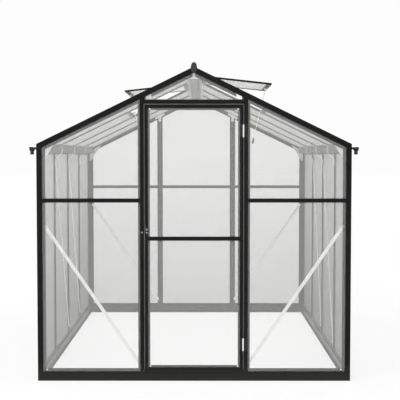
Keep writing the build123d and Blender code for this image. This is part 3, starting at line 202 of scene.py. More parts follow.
def twin_wall(name, tone, cover, gloss, painted_shade_tone=None, painted_shade_cover=None):
    """Extruded clear sheet: the flutes' faint draw lines, and painted shade that makes the sheet darker
    and denser towards the ground.
    """
    painted_shade_tone, painted_shade_cover = painted_shade_tone or tone, painted_shade_cover or cover
    finish = Finish(name)
    clouds = finish.noise(2.2, 3.0)
    lines = finish.noise(420.0, 2.0, (1.0, 1.0, 0.01))
    # Painted shade: towards the ground the sheet turns to a darker tone and a higher cover.
    painted_shade_to_ground = finish.clamped(finish.height() + clouds * 0.2, 1.5, 0.15)
    colour = finish.blend(painted_shade_to_ground, (*tone, 1), (*painted_shade_tone, 1))
    rough = finish.clamped(clouds, 0.2, 0.8) * 0.08 + finish.clamped(lines, 0.3, 0.7) * 0.06 + gloss
    alpha = finish.clamped(lines, 0.2, 0.8) * (cover * 0.25) + painted_shade_to_ground * (painted_shade_cover - cover) + cover
    relief = finish.bump(lines, 0.08, 0.0002)
    return finish.surface(Base_Color=colour, Roughness=rough, IOR=1.45, Alpha=alpha, Normal=relief)


COATED = -HALF_LENGTH - 0.0026  # up to this far in front of the house a fitting is coated
BARE = -HALF_LENGTH - 0.0028  # and from here it is bare metal on the hinges, and a painted highlight on the latch
RIDGE_UNDERSIDE = (1.893, 1.888)  # heights between which the cap's black turns into the underside's painted grey reflection
RIDGE_FLANGES = (0.0262, 0.0272)  # how far from the middle the painted light reflection on the wide flanges starts


def coated_fitting(name, bare_or_highlight_low, bare_or_highlight_high):
    """A fitting with black coated plates, and a lighter barrel or edge where it stands proud: bare metal
    on a hinge, a painted highlight on a latch.
    """
    finish = Finish(name)
    grain = finish.noise(700.0, 2.0)
    wear = finish.noise(60.0, 3.0)
    proud = finish.clamped(finish.along("Y"), COATED, BARE)
    black = finish.mottled(wear, (0.010, 0.010, 0.010), (0.016, 0.016, 0.016))
    bare = finish.mottled(wear, bare_or_highlight_low, bare_or_highlight_high)
    colour = finish.blend(proud, black, bare)
    rough = finish.clamped(grain, 0.3, 0.7) * 0.12 + 0.3
    relief = finish.bump(grain, 0.1, 0.0001)
    return finish.surface(Base_Color=colour, Roughness=rough, IOR=1.3, Normal=relief)


def ridge_painted_reflection(name):
    """The ridge beam's black coat with painted reflection of the bright floor: light on the wide flanges
    under the roof, grey on the rest of the underside, dark on the cap.
    """
    finish = Finish(name)
    grain = finish.noise(260.0, 2.0)
    patches = finish.noise(8.0, 4.0)
    aside = finish.maths("ABSOLUTE", finish.along("X"))
    under = finish.clamped(finish.height(), *RIDGE_UNDERSIDE)
    flange = finish.clamped(aside, *RIDGE_FLANGES) * under
    # The cap is the beam's own black; the grey underside and the light flanges are painted reflection of
    # the bright floor.
    dark = finish.mottled(patches, (0.008, 0.0078, 0.0075), (0.012, 0.0115, 0.011))
    grey = finish.mottled(patches, (0.07, 0.07, 0.07), (0.09, 0.09, 0.09))
    light = finish.mottled(patches, (0.78, 0.78, 0.76), (0.86, 0.86, 0.84))
    colour = finish.blend(flange, finish.blend(under, dark, grey), light)
    rough = finish.clamped(patches, 0.2, 0.8) * 0.1 + 0.3
    relief = finish.bump(grain, 0.1, 0.0004)
    return finish.surface(Base_Color=colour, Roughness=rough, IOR=1.25, Normal=relief)


# The finishes: a darker and a lighter tone, then roughness and metal where they are chosen
black_coat = powder_coat("black_powder_coat", (0.0065, 0.006, 0.0058), (0.0105, 0.0098, 0.0095), 0.26)
black_plastic = moulded_plastic(
    "black_moulded_plastic", (0.016, 0.016, 0.016), (0.024, 0.024, 0.024), 0.5
)
bare_strip = mill_aluminium("bare_aluminium_strip", (0.78, 0.78, 0.77), (0.9, 0.9, 0.9), 0.38, 0.35)
zinc = mill_aluminium("zinc_plated_steel", (0.7, 0.7, 0.69), (0.86, 0.86, 0.85), 0.25, 0.8)
hinge_finish = coated_fitting(
    "black_hinge_leaf_with_a_bare_barrel", (0.8, 0.8, 0.79), (0.92, 0.92, 0.92)
)
# The latch's grey tongue is a painted highlight along its edge.
latch_finish = coated_fitting("black_latch_with_a_painted_highlight_on_the_tongue", (0.06, 0.06, 0.06), (0.1, 0.1, 0.1))
ridge_finish = ridge_painted_reflection("ridge_beam_painted_reflection")
rubber = moulded_plastic("black_rubber", (0.010, 0.010, 0.010), (0.016, 0.016, 0.016), 0.6)
# The seals' light grey is partly a painted highlight along the door's gaps.
pile_and_painted_highlight = moulded_plastic("grey_pile_seal_with_painted_highlight", (0.42, 0.42, 0.41), (0.55, 0.55, 0.54), 0.7)
white_plastic = moulded_plastic("white_plastic", (0.88, 0.88, 0.88), (0.94, 0.94, 0.94), 0.35)

# The clear sheets: each has its tone, cover and roughness, and its tone and cover near the ground.
# The tones are painted light and shade on one clear sheet: the rear, side-wall and roof sheets
# are darker, shaded copies, the vent sheets a lighter, lit copy, and the rear and side walls
# darken further towards the ground as painted shade.
gable_clear = twin_wall("clear_sheet_in_the_gable", (0.9, 0.9, 0.89), 0.062, 0.22)
rear_clear_painted_shade = twin_wall(
    "clear_sheet_at_the_rear", (0.52, 0.52, 0.51), 0.088, 0.22, (0.3, 0.3, 0.295), 0.16
)
wall_clear_painted_shade = twin_wall(
    "clear_sheet_in_the_side_walls", (0.44, 0.435, 0.425), 0.075, 0.3, (0.09, 0.088, 0.086), 0.1
)
vent_clear = twin_wall("clear_sheet_in_the_roof_vents", (0.86, 0.86, 0.84), 0.075, 0.3)
roof_clear_painted_shade = twin_wall("clear_sheet_in_the_roof", (0.64, 0.64, 0.61), 0.075, 0.3)

FINISH_OF_SLOT = {
    "frame_black": black_coat,
    "plastic_black": black_plastic,
    "fitting_light": bare_strip,
    "sheet_clear": gable_clear,
}
FINISH_OF_NODE = {
    "hinge_post_leaves": hinge_finish,
    "hinge_door_leaves": hinge_finish,
    "door_latch": latch_finish,
    "latch_keeper": latch_finish,
    "ridge_beam": ridge_finish,
}
for row in frame["record"]["subparts"]:
    mesh = frame["nodes"][row["node"]].data
    mesh.materials.clear()
    mesh.materials.append(FINISH_OF_NODE.get(row["node"], FINISH_OF_SLOT[row["material_slot"]]))


# Patterns: Geometry Nodes trees for what repeats


class Pattern:
    """A Geometry Nodes tree with named inputs for its sizes."""

    def __init__(self, name, inputs):
        self.tree = bpy.data.node_groups.new(name, "GeometryNodeTree")
        face = self.tree.interface
        face.new_socket(name="Points", in_out="INPUT", socket_type="NodeSocketGeometry")
        self.names = {}
        for label, kind in inputs.items():
            self.names[label] = face.new_socket(name=label, in_out="INPUT", socket_type=kind).identifier
        face.new_socket(name="Pieces", in_out="OUTPUT", socket_type="NodeSocketGeometry")
        self.entry = self.tree.nodes.new("NodeGroupInput")

    def node(self, kind, settings=None, sockets=None, out=0):
        """Adds a node: its settings first, then the values or links of its sockets."""
        made = self.tree.nodes.new(kind)
        for key, value in (settings or {}).items():
            setattr(made, key, value)
        for key, value in (sockets or {}).items():
            for source in value if isinstance(value, list) else [value]:
                if isinstance(source, bpy.types.NodeSocket):
                    self.tree.links.new(source, made.inputs[key])
                else:
                    made.inputs[key].default_value = source
        return made.outputs[out]

    def given(self, label):
        """The value of one of the tree's inputs."""
        return self.entry.outputs[label]

    def attribute(self, name, kind):
        """A named value that each point carries."""
        return self.node("GeometryNodeInputNamedAttribute", {"data_type": kind}, {"Name": name})

    def finished(self, pieces):
        """Ends the tree: real meshes with the material given."""
        real = self.node("GeometryNodeRealizeInstances", None, {0: pieces})
        coating = {"Geometry": real, "Material": self.given("Finish")}
        coated = self.node("GeometryNodeSetMaterial", None, coating)
        output = self.tree.nodes.new("NodeGroupOutput")
        self.tree.links.new(coated, output.inputs[0])
        return self

    def grow(self, name, mesh, **values):
        """Runs the tree on a mesh and returns an object with the plain result."""
        holder = bpy.data.objects.new(name, mesh)
        bpy.context.scene.collection.objects.link(holder)
        modifier = holder.modifiers.new("pattern", "NODES")
        modifier.node_group = self.tree
        for label, value in values.items():
            modifier[self.names[label.replace("_", " ")]] = value
        graph = bpy.context.evaluated_depsgraph_get()
        made = bpy.data.meshes.new_from_object(holder.evaluated_get(graph), depsgraph=graph)
        made.name = name
        holder.modifiers.clear()
        holder.data = made
        return holder


def sheet_pattern():
    """Twin-wall sheets: skins pass through, each loose point becomes a rib of its own length and turn."""
    pattern = Pattern(
        "twin_wall_ribs",
        {
            "Rib thickness": "NodeSocketFloat",
            "Rib depth": "NodeSocketFloat",
            "Finish": "NodeSocketMaterial",
        },
    )
    length = pattern.attribute("rib_length", "FLOAT")
    turn = pattern.attribute("rib_turn", "FLOAT_VECTOR")
    longer = {"data_type": "FLOAT", "operation": "GREATER_THAN"}
    is_rib = pattern.node("FunctionNodeCompare", longer, {0: length, 1: 0.0})
    parting = {"Geometry": pattern.given("Points"), "Selection": is_rib}
    ribs = pattern.node("GeometryNodeSeparateGeometry", {"domain": "POINT"}, parting)
    skins = pattern.node("GeometryNodeSeparateGeometry", {"domain": "POINT"}, parting, out=1)
    rod = pattern.node("GeometryNodeMeshCube", None, {"Size": (1.0, 1.0, 1.0)})
    sizes = {"X": pattern.given("Rib thickness"), "Y": length, "Z": pattern.given("Rib depth")}
    size = pattern.node("ShaderNodeCombineXYZ", None, sizes)
    places = {"Points": ribs, "Instance": rod, "Rotation": turn, "Scale": size}
    placed = pattern.node("GeometryNodeInstanceOnPoints", None, places)
    real = pattern.node("GeometryNodeRealizeInstances", None, {0: placed})
    joined = pattern.node("GeometryNodeJoinGeometry", None, {0: [real, skins]})
    return pattern.finished(joined)


WASHER_SIDES = 16
STEM_SIDES = 12


def fixing_pattern():
    """Bolts: a head or nut of some sides on a washer, with a stem's end standing out of it."""
    pattern = Pattern(
        "fixings",
        {
            "Sides": "NodeSocketInt",
            "Radius": "NodeSocketFloat",
            "Height": "NodeSocketFloat",
            "Washer radius": "NodeSocketFloat",
            "Washer height": "NodeSocketFloat",
            "Stem radius": "NodeSocketFloat",
            "Stem height": "NodeSocketFloat",
            "Finish": "NodeSocketMaterial",
        },
    )

    def drum(sides, radius, height):
        """A round or many-sided block that stands on the surface."""
        sizes = {"Vertices": sides, "Radius": radius, "Depth": height}
        made = pattern.node("GeometryNodeMeshCylinder", None, sizes)
        half = pattern.node("ShaderNodeMath", {"operation": "MULTIPLY"}, {0: height, 1: 0.5})
        rise = pattern.node("ShaderNodeCombineXYZ", None, {"Z": half})
        return pattern.node("GeometryNodeTransform", None, {"Geometry": made, "Translation": rise})

    given = pattern.given
    head = drum(given("Sides"), given("Radius"), given("Height"))
    washer = drum(WASHER_SIDES, given("Washer radius"), given("Washer height"))
    stem = drum(STEM_SIDES, given("Stem radius"), given("Stem height"))
    whole = pattern.node("GeometryNodeJoinGeometry", None, {0: [head, washer, stem]})
    facing = pattern.attribute("facing", "FLOAT_VECTOR")
    turn = pattern.node("FunctionNodeAlignRotationToVector", {"axis": "Z"}, {"Vector": facing})
    places = {"Points": given("Points"), "Instance": whole, "Rotation": turn}
    placed = pattern.node("GeometryNodeInstanceOnPoints", None, places)
    return pattern.finished(placed)


# Twin-wall sheets in place of the solid ones


def loose_solids(node):
    """The separate solids of a frame node, each as an array of its points."""
    mesh = frame["nodes"][node].data
    points = np.array([v.co for v in mesh.vertices]).round(6)
    unique, index = np.unique(points, axis=0, return_inverse=True)
    index = index.reshape(-1)
    parent = list(range(len(unique)))

    def root(i):
        while parent[i] != i:
            parent[i] = parent[parent[i]]
            i = parent[i]
        return i

    for edge in mesh.edges:
        a, b = (root(index[v]) for v in edge.vertices)
        parent[a] = b
    groups = {}
    for i in range(len(unique)):
        groups.setdefault(root(i), []).append(unique[i])
    return [np.array(group) for _, group in sorted(groups.items(), key=lambda g: tuple(g[1][0]))]


def outline_of(points):
    """Corners of the convex outline of flat points, anticlockwise."""
    ordered = sorted(set(map(tuple, points.round(6))))

    def chain(these):
        kept = []
        for p in these:
            while len(kept) > 1:
                (ax, ay), (bx, by) = kept[-2], kept[-1]
                if (bx - ax) * (p[1] - ay) - (by - ay) * (p[0] - ax) > 1e-9:
                    break
                kept.pop()
            kept.append(p)
        return kept[:-1]

    return chain(ordered) + chain(ordered[::-1])


def span_at(outline, u):
    """Lowest and highest v of a convex outline at u."""
    crossings = []
    for (au, av), (bu, bv) in zip(outline, outline[1:] + outline[:1]):
        if au != bu and min(au, bu) <= u <= max(au, bu):
            crossings.append(av + (bv - av) * (u - au) / (bu - au))
    return min(crossings), max(crossings)


def sheet_mesh(node, axes_of):
    """Skins of every sheet of a node, with a point at each rib."""
    points, faces, lengths, turns = [], [], [], []
    for solid in loose_solids(node):
        across, along, through = axes_of(solid)
        basis = np.array([across, along, through])
        local = solid @ basis.T
        outline = outline_of(local[:, :2])
        near, far = local[:, 2].min(), local[:, 2].max()
        for low, high in ((near, near + SKIN), (far - SKIN, far)):
            first = len(points)
            for level in (low, high):
                points += [np.array([u, v, level]) @ basis for u, v in outline]
            count = len(outline)
            faces.append([first + i for i in reversed(range(count))])
            faces.append([first + count + i for i in range(count)])
            for i in range(count):
                j = (i + 1) % count
                faces.append([first + i, first + j, first + count + j, first + count + i])
        of_skins = len(points) - len(lengths)
        lengths += [0.0] * of_skins
        turns += [(0.0, 0.0, 0.0)] * of_skins
        low_u, high_u = local[:, 0].min(), local[:, 0].max()
        number = int(round((high_u - low_u) / FLUTE_PITCH))
        turn = Matrix((across, along, through)).transposed().to_euler()
        for k in range(number + 1):
            u = low_u + RIB / 2 + (high_u - low_u - RIB) * k / number
            low, high = span_at(outline, min(max(u, low_u + WELD), high_u - WELD))
            points.append(np.array([u, (low + high) / 2, (near + far) / 2]) @ basis)
            lengths.append(high - low - 2 * RIB)
            turns.append(tuple(turn))
    mesh = bpy.data.meshes.new(node + "_points")
    mesh.from_pydata([tuple(p) for p in points], [], faces)
    mesh.attributes.new("rib_length", "FLOAT", "POINT").data.foreach_set("value", lengths)
    mesh.attributes.new("rib_turn", "FLOAT_VECTOR", "POINT").data.foreach_set(
        "vector", [c for t in turns for c in t]
    )
    return mesh


def upright_in_gable(solid):
    """Flutes upright, sheet across the house."""
    return Vector((1, 0, 0)), Vector((0, 0, 1)), Vector((0, -1, 0))


def upright_in_wall(solid):
    """Flutes upright, sheet along the house."""
    return Vector((0, 1, 0)), Vector((0, 0, 1)), Vector((1, 0, 0))


def down_the_slope(solid):
    """Flutes down whichever slope the sheet lies on, found from the corners of one of its edges."""
    edge = solid[solid[:, 0].argmin()][1]
    flat = [p for p in solid if abs(p[1] - edge) < WELD]
    steps = (Vector(b - a) for a in flat for b in flat if b[0] > a[0])
    diagonal = max(steps, key=lambda d: d.length)
    angle = math.atan2(diagonal.z, diagonal.x)
    depth = math.atan2(SHEET_DEPTH, diagonal.length)
    options = []
    for turn in (angle + depth, angle - depth):
        along = Vector((math.cos(turn), 0.0, math.sin(turn)))
        through = Vector((-math.sin(turn), 0.0, math.cos(turn)))
        levels = [Vector(p).dot(through) for p in flat]
        options.append((max(levels) - min(levels), along, through))
    _, along, through = min(options, key=lambda o: o[0])
    return Vector((0, -1, 0)), along, through


ribs = sheet_pattern()
SHEETS = (
    ("side_sheets", "side_panes", upright_in_wall, wall_clear_painted_shade, "greenhouse"),
    ("roof_sheets", "roof_panes", down_the_slope, roof_clear_painted_shade, "greenhouse"),
    ("roof_vent_sheets", "roof_vent_panes", down_the_slope, vent_clear, "greenhouse"),
    ("front_sheets", "front_panes", upright_in_gable, gable_clear, "greenhouse"),
    ("gable_sheet", "gable_pane", upright_in_gable, gable_clear, "greenhouse"),
    ("rear_sheets", "rear_panes", upright_in_gable, rear_clear_painted_shade, "greenhouse"),
    ("door_sheets", "door_panes", upright_in_gable, gable_clear, "door"),
)
for name, node, axes_of, finish, body in SHEETS:
    piece = ribs.grow(
        name,
        sheet_mesh(node, axes_of),
        Rib_thickness=RIB,
        Rib_depth=SHEET_DEPTH - SKIN,
        Finish=finish,
    )
    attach(piece, body)
    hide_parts(node)


# Extrusions drawn finer than their solids


def trimmed(name, node, rule):
    """A merged copy of a node's mesh with its points moved by a rule, in place of the node."""
    mesh = frame["nodes"][node].data.copy()
    mesh.name = name
    work = bmesh.new()
    work.from_mesh(mesh)
    bmesh.ops.remove_doubles(work, verts=work.verts, dist=WELD)
    for point in work.verts:
        rule(point.co)
    bmesh.ops.dissolve_degenerate(work, dist=WELD, edges=work.edges)
    work.to_mesh(mesh)
    work.free()
    piece = bpy.data.objects.new(name, mesh)
    bpy.context.scene.collection.objects.link(piece)
    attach(piece, "greenhouse")
    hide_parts(node)


FLANGE_FROM = 0.012  # a bar is its flange from this far beside its middle
FLANGE_TO = 0.013  # and the flange is drawn up to here
CHANNEL_FROM = 1e-5  # what lies this much deeper than the flange is the channel
STRAP_ON_WALL = 0.92  # the straps' lower ends are further out than this
STRAP_ON_ROOF = 1.41  # and their upper ends are above this
LUG_AT_BAR = 0.02  # a lug's end is nearer to a bar than this
HEADER_LIP = 0.004
EAVES_LIP = 0.001
EAVES_LIP_TO = 0.943  # the eaves beams' lips are nearer to the middle than this
BASE_LIP_TOP = 0.063
BASE_FOOT_FROM = 0.912  # the side bases' feet reach in past this
BASE_FOOT_TO = 0.916  # and are drawn up to here


def nearest_bar(y):
    return min(BAR_LINES, key=lambda bar: abs(y - bar))


def under_roof(co):
    """How far a point lies square below the rafters' top."""
    return (roof_height(co.x) - co.z) * math.cos(PITCH)


def lift(co, distance):
    """Moves a point of either slope square to the slope, upwards."""
    co.x += math.copysign(math.sin(PITCH) * distance, co.x)
    co.z += math.cos(PITCH) * distance


def narrow_flange(co):
    """Bars' inner flanges 26 mm wide."""
    bar = nearest_bar(co.y)
    if abs(co.y - bar) > FLANGE_FROM:
        co.y = bar + math.copysign(FLANGE_TO, co.y - bar)


def slim_wall_bar(co):
    """Wall bars with narrow flanges and channels 3 mm deep."""
    narrow_flange(co)
    deeper = HALF_WIDTH - abs(co.x) - FLANGE_IN
    if deeper > CHANNEL_FROM:
        co.x = math.copysign(HALF_WIDTH - FLANGE_IN - deeper * SLIM, co.x)


def slim_roof_bar(co):
    """Roof bars with narrow flanges and channels 3 mm deep."""
    narrow_flange(co)
    deeper = under_roof(co) - ROOF_SINK - FLANGE_IN
    if deeper > CHANNEL_FROM:
        lift(co, deeper * (1 - SLIM))


def strap_on_slim_bars(co):
    """The eaves straps' ends, moved on to the slim bars."""
    if abs(co.x) > STRAP_ON_WALL:
        co.x += math.copysign(SLIMMER, co.x)
    elif co.z > STRAP_ON_ROOF:
        co.z += SLIMMER / math.cos(PITCH)


def lug_on_slim_bar(co):
    """The cross bars' lugs, bent up to the slim bars at one end."""
    if abs(co.y - nearest_bar(co.y)) < LUG_AT_BAR:
        lift(co, SLIMMER)


def low_header_lip(co):
    """A low lip over the header."""
    co.z = min(co.z, HEADER_TOP + HEADER_LIP)


def short_eaves_lip(co):
    """A short lip under the eaves beam."""
    if abs(co.x) < EAVES_LIP_TO:
        co.z = max(co.z, EAVES_FACE - EAVES_LIP)


def low_side_base(co):
    """A low lip on the side base, and a shorter foot."""
    co.z = min(co.z, BASE_LIP_TOP)
    if abs(co.x) < BASE_FOOT_FROM:
        co.x = math.copysign(BASE_FOOT_TO, co.x)


trimmed("wall_bar_profiles", "wall_bars", slim_wall_bar)
trimmed("roof_bar_profiles", "roof_bars", slim_roof_bar)
trimmed("eaves_strap_strips", "eaves_straps", strap_on_slim_bars)
trimmed("cross_bar_lugs", "cross_bar_brackets", lug_on_slim_bar)
trimmed("header_profile", "door_header", low_header_lip)
trimmed("left_eaves_profile", "left_eaves_beam", short_eaves_lip)
trimmed("right_eaves_profile", "right_eaves_beam", short_eaves_lip)
trimmed("left_base_profile", "base_left", low_side_base)
trimmed("right_base_profile", "base_right", low_side_base)


# Pressed plates, and the ridge's end pieces


def pressed(name, node, parts, finish, soft=0.0005):
    """Prisms cut from outlines seen from the front, in place of a node.

    Each part has an outline, the depths of its two faces inside a gable, and the gables and sides
    that it is on."""
    points, faces = [], []
    for outline, near, far, ends, sides in parts:
        for side in sides:
            for end in ends:
                first = len(points)
                for depth in (near, far):
                    points += [(side * x, end * (HALF_LENGTH - depth), z) for x, z in outline]
                count = len(outline)
                faces.append([first + i for i in range(count)])
                faces.append([first + count + i for i in reversed(range(count))])
                for i in range(count):
                    j = (i + 1) % count
                    faces.append([first + i, first + count + i, first + count + j, first + j])
    mesh = bpy.data.meshes.new(name)
    mesh.from_pydata(points, [], faces)
    work = bmesh.new()
    work.from_mesh(mesh)
    bmesh.ops.recalc_face_normals(work, faces=work.faces)
    work.to_mesh(mesh)
    work.free()
    mesh.materials.append(finish)
    piece = bpy.data.objects.new(name, mesh)
    bpy.context.scene.collection.objects.link(piece)
    softened = piece.modifiers.new("softened", "BEVEL")
    softened.width = soft
    softened.segments = 2
    softened.limit_method = "ANGLE"
    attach(piece, "greenhouse")
    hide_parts(node)


def below_roof(*places):
    """Corners of an outline from their x and how far they lie square below the rafters' top."""
    return [(x, roof_height(x, under)) for x, under in places]


gusset = [
    *below_roof((0.930, 0.0245)),
    (0.930, 1.325),
    (0.918, 1.325),
    (0.832, 1.459),
    *below_roof((0.828, 0.0305), (0.828, 0.0245)),
]
pressed(
    "eaves_gusset_plates",
    "eaves_gussets",
    [(gusset, PLATE_BACK, PLATE_FACE, BOTH, BOTH)],
    bare_strip,
)

CORNER_PLATE = 0.002
corner = [
    *below_roof((0.950, 0.0)),
    (0.950, 1.378),
    (0.917, 1.378),
    *below_roof((0.917, 0.033), (0.888, 0.033), (0.888, 0.0)),
]
pressed(
    "outer_corner_plates",
    "corner_plates",
    [(corner, -CORNER_PLATE, 0.0, BOTH, BOTH)],
    black_coat,
)

REAR = (1,)
STEM_FOOT = 1.668
arm = below_roof((0.276, 0.025), (0.356, 0.025), (0.356, 0.042), (0.276, 0.042))
stem = [(0.304, STEM_FOOT), *below_roof((0.304, 0.0338), (0.328, 0.0338)), (0.328, STEM_FOOT)]
tab = below_roof((0.304, 0.036), (0.328, 0.036), (0.328, 0.038), (0.304, 0.038))
pressed(
    "stud_bracket_plates",
    "stud_brackets",
    [
        (arm, BRACKET_BACK, BRACKET_FACE, REAR, BOTH),
        (stem, PLATE_BACK, PLATE_FACE, REAR, BOTH),
        (tab, PLATE_FACE, BRACKET_BACK, REAR, BOTH),
    ],
    bare_strip,
)

# The ridge's end pieces: half of their outline in millimetres, from the apex
FINIAL_PROUD = 0.004  # how far they stand out of the gables
HOOD_DEPTH = 0.033  # how far their hoods reach in over the rafters
HOOD_FOOT = 0.0186  # half the width of a hood's foot
FINIAL_ROUND = 0.0012
right_edge = (
    (0.0, 26.0),
    (3.8, 25.5),
    (7.4, 24.0),
    (10.6, 21.4),
    (13.2, 17.8),
    (15.2, 13.2),
    (16.8, 8.0),
    (18.2, 2.0),
    (19.0, -5.0),
    (19.0, -15.0),
    (17.4, -20.4),
    (14.6, -25.4),
    (11.0, -30.4),
    (7.6, -34.2),
    (4.0, -36.2),
    (0.0, -36.7),
)
right_edge = [(x / 1000, APEX + z / 1000) for x, z in right_edge]
cap = right_edge + [(-x, z) for x, z in reversed(right_edge[1:-1])]
hood = [p for p in cap if p[1] > roof_height(p[0])]
hood_right = [p for p in hood if p[0] >= 0]
hood = hood_right + below_roof((HOOD_FOOT, 0.0), (0.0, 0.0), (-HOOD_FOOT, 0.0))
hood += [(-x, z) for x, z in reversed(hood_right[1:])]
pressed(
    "ridge_finials",
    "ridge_end_caps",
    [(cap, -FINIAL_PROUD, 0.0, BOTH, (1,)), (hood, 0.0, HOOD_DEPTH, BOTH, (1,))],
    black_plastic,
    FINIAL_ROUND,
)


# Bolts, nuts, rivets and screws


def fixing_points(name, places):
    """A mesh of loose points, each with the way that its fixing faces."""
    mesh = bpy.data.meshes.new(name)
    mesh.from_pydata([tuple(p) for p, _ in places], [], [])
    mesh.attributes.new("facing", "FLOAT_VECTOR", "POINT").data.foreach_set(
        "vector", [c for _, facing in places for c in facing]
    )
    return mesh


def in_gable(end, x, z, depth):
    """A place on the inner side of a gable, this deep from its outer face, and the way inwards."""
    return (x, end * (HALF_LENGTH - depth), z), (0.0, -end, 0.0)


def on_brace(start, stop, inset=0.010):
    """The two holes of a brace, this far in from its ends."""
    start, stop = Vector(start), Vector(stop)
    step = (stop - start).normalized() * inset
    return start + step, stop - step


GABLE_BRACE = ((0.331, 0.105), (0.907, 0.950))  # x and height of its ends
SIDE_BRACES = (-0.605, 0.015)  # where the right wall's braces start along the house
SIDE_BRACE_RUN = 0.590
SIDE_BRACE_FOOT = 0.100
SIDE_BRACE_HEAD = 1.346
GUSSET_LEG = 0.921  # x of the nuts on the gussets' legs
GUSSET_LEG_NUTS = (1.345, 1.385)
GUSSET_ARM_NUTS = (0.848, 0.888)
GUSSET_ARM = 0.0305  # how far the nuts on their arms are below the rafters' top
RIDGE_NUT_SIDE = 0.026
RIDGE_NUT_DROP = 0.064
UPPER_RIDGE_NUT = 0.028
UPPER_RIDGE_UNDER = 0.031
STUD = 0.316
STUD_UNDER = 0.0315
STUD_DROPS = (0.024, 0.044)
BRACKET_NUTS = (0.288, 0.344)
BRACKET_UNDER = 0.0335
STRAP_WALL_DEPTH = 0.021
STRAP_WALL_NUT = 1.326
STRAP_BEND_NUT = (0.890, 1.412)
STRAP_ROOF_NUT = 0.850
STRAP_ROOF_UNDER = 0.035
LUG_LINE = 0.516  # how far the cross bars' lugs are down the slope
LUG_UNDER = 0.035
LUG_NUTS = (-0.012, 0.018)  # outwards and inwards of a cross bar's end
RIGHT_CROSS_BAR = (-1.227, -0.643)
LEFT_CROSS_BAR = (-0.597, -0.023)

nuts = []
for end in BOTH:
    for side in BOTH:
        for hole in on_brace(*GABLE_BRACE):
            nuts.append(in_gable(end, side * hole.x, hole.y, BRACE_FACE))
        for z in GUSSET_LEG_NUTS:
            nuts.append(in_gable(end, side * GUSSET_LEG, z, PLATE_FACE))
        for x in GUSSET_ARM_NUTS:
            nuts.append(in_gable(end, side * x, roof_height(x, GUSSET_ARM), PLATE_FACE))
        nuts.append(in_gable(end, side * RIDGE_NUT_SIDE, APEX - RIDGE_NUT_DROP, PLATE_FACE))
        upper = roof_height(UPPER_RIDGE_NUT, UPPER_RIDGE_UNDER)
        nuts.append(in_gable(end, side * UPPER_RIDGE_NUT, upper, PLATE_FACE))
for side in BOTH:
    for drop in STUD_DROPS:
        nuts.append(in_gable(1, side * STUD, roof_height(STUD, STUD_UNDER) - drop, PLATE_FACE))
    for x in BRACKET_NUTS:
        nuts.append(in_gable(1, side * x, roof_height(x, BRACKET_UNDER), BRACKET_FACE))
    inwards = (-side, 0.0, 0.0)
    down = (-side * math.sin(PITCH), 0.0, -math.cos(PITCH))
    for bar in BAR_LINES:
        depth = STRAP_WALL_DEPTH - SLIMMER
        nuts.append(((side * (HALF_WIDTH - depth), bar, STRAP_WALL_NUT), inwards))
        nuts.append(((side * STRAP_BEND_NUT[0], bar, STRAP_BEND_NUT[1]), inwards))
        height = roof_height(STRAP_ROOF_NUT, STRAP_ROOF_UNDER - SLIMMER)
        nuts.append(((side * STRAP_ROOF_NUT, bar, height), down))
for side in BOTH:
    for start in SIDE_BRACES:
        front = side * start
        rear = front + side * SIDE_BRACE_RUN
        for hole in on_brace((front, SIDE_BRACE_FOOT), (rear, SIDE_BRACE_HEAD)):
            nuts.append(((side * (HALF_WIDTH - BRACE_FACE), hole.x, hole.y), (-side, 0.0, 0.0)))
for side, ends in ((1, RIGHT_CROSS_BAR), (-1, LEFT_CROSS_BAR)):
    for end, inward in zip(ends, (1, -1)):
        for step in LUG_NUTS:
            y = end + inward * step
            sunk = LUG_UNDER - (SLIMMER if abs(y - nearest_bar(y)) < LUG_AT_BAR else 0.0)
            point = Vector((0, y, APEX)) + DOWN_SLOPE * LUG_LINE + UNDER_ROOF * sunk
            facing = (side * UNDER_ROOF.x, 0.0, UNDER_ROOF.z)
            nuts.append(((side * point.x, point.y, point.z), facing))

FRONT = (0.0, -1.0, 0.0)
PLATE_FRONT = -HALF_LENGTH - 0.002
HINGE_HEIGHTS = (0.223, 1.518)
HINGE_RIVETS = (-0.027, 0.0, 0.027)
hinge_rows = [height + step for height in HINGE_HEIGHTS for step in HINGE_RIVETS]
post_rivets = [((0.317, PLATE_FRONT, z), FRONT) for z in hinge_rows]
door_rivets = [((0.2845, PLATE_FRONT, z), FRONT) for z in hinge_rows]
keeper_rivets = [((-0.3140, PLATE_FRONT, 0.9060), FRONT)]
latch_rivets = [((-0.2850, PLATE_FRONT, z), FRONT) for z in (0.9045, 0.9225)]

NUT = dict(
    Sides=6,
    Radius=0.0052,
    Height=0.0045,
    Washer_radius=0.0068,
    Washer_height=0.0011,
    Stem_radius=0.0027,
    Stem_height=0.0075,
)
RIVET = dict(
    Sides=14,
    Radius=0.0034,
    Height=0.0010,
    Washer_radius=0.0024,
    Washer_height=0.0015,
    Stem_radius=0.0012,
    Stem_height=0.0018,
)
fixings = fixing_pattern()
for name, kind, places, finish, slot, body in (
    ("house_nuts", NUT, nuts, zinc, "fitting_light", "greenhouse"),
    ("hinge_post_rivets", RIVET, post_rivets, black_plastic, "plastic_black", "greenhouse"),
    ("hinge_door_rivets", RIVET, door_rivets, black_plastic, "plastic_black", "door"),
    ("keeper_rivets", RIVET, keeper_rivets, zinc, "fitting_light", "greenhouse"),
    ("latch_rivets", RIVET, latch_rivets, zinc, "fitting_light", "door"),
):
    piece = fixings.grow(name, fixing_points(name + "_points", places), Finish=finish, **kind)
    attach(piece, body)


# Corner pads, the stays' tips, the sill's filler and the door's seals, whose light grey is partly a
# painted highlight


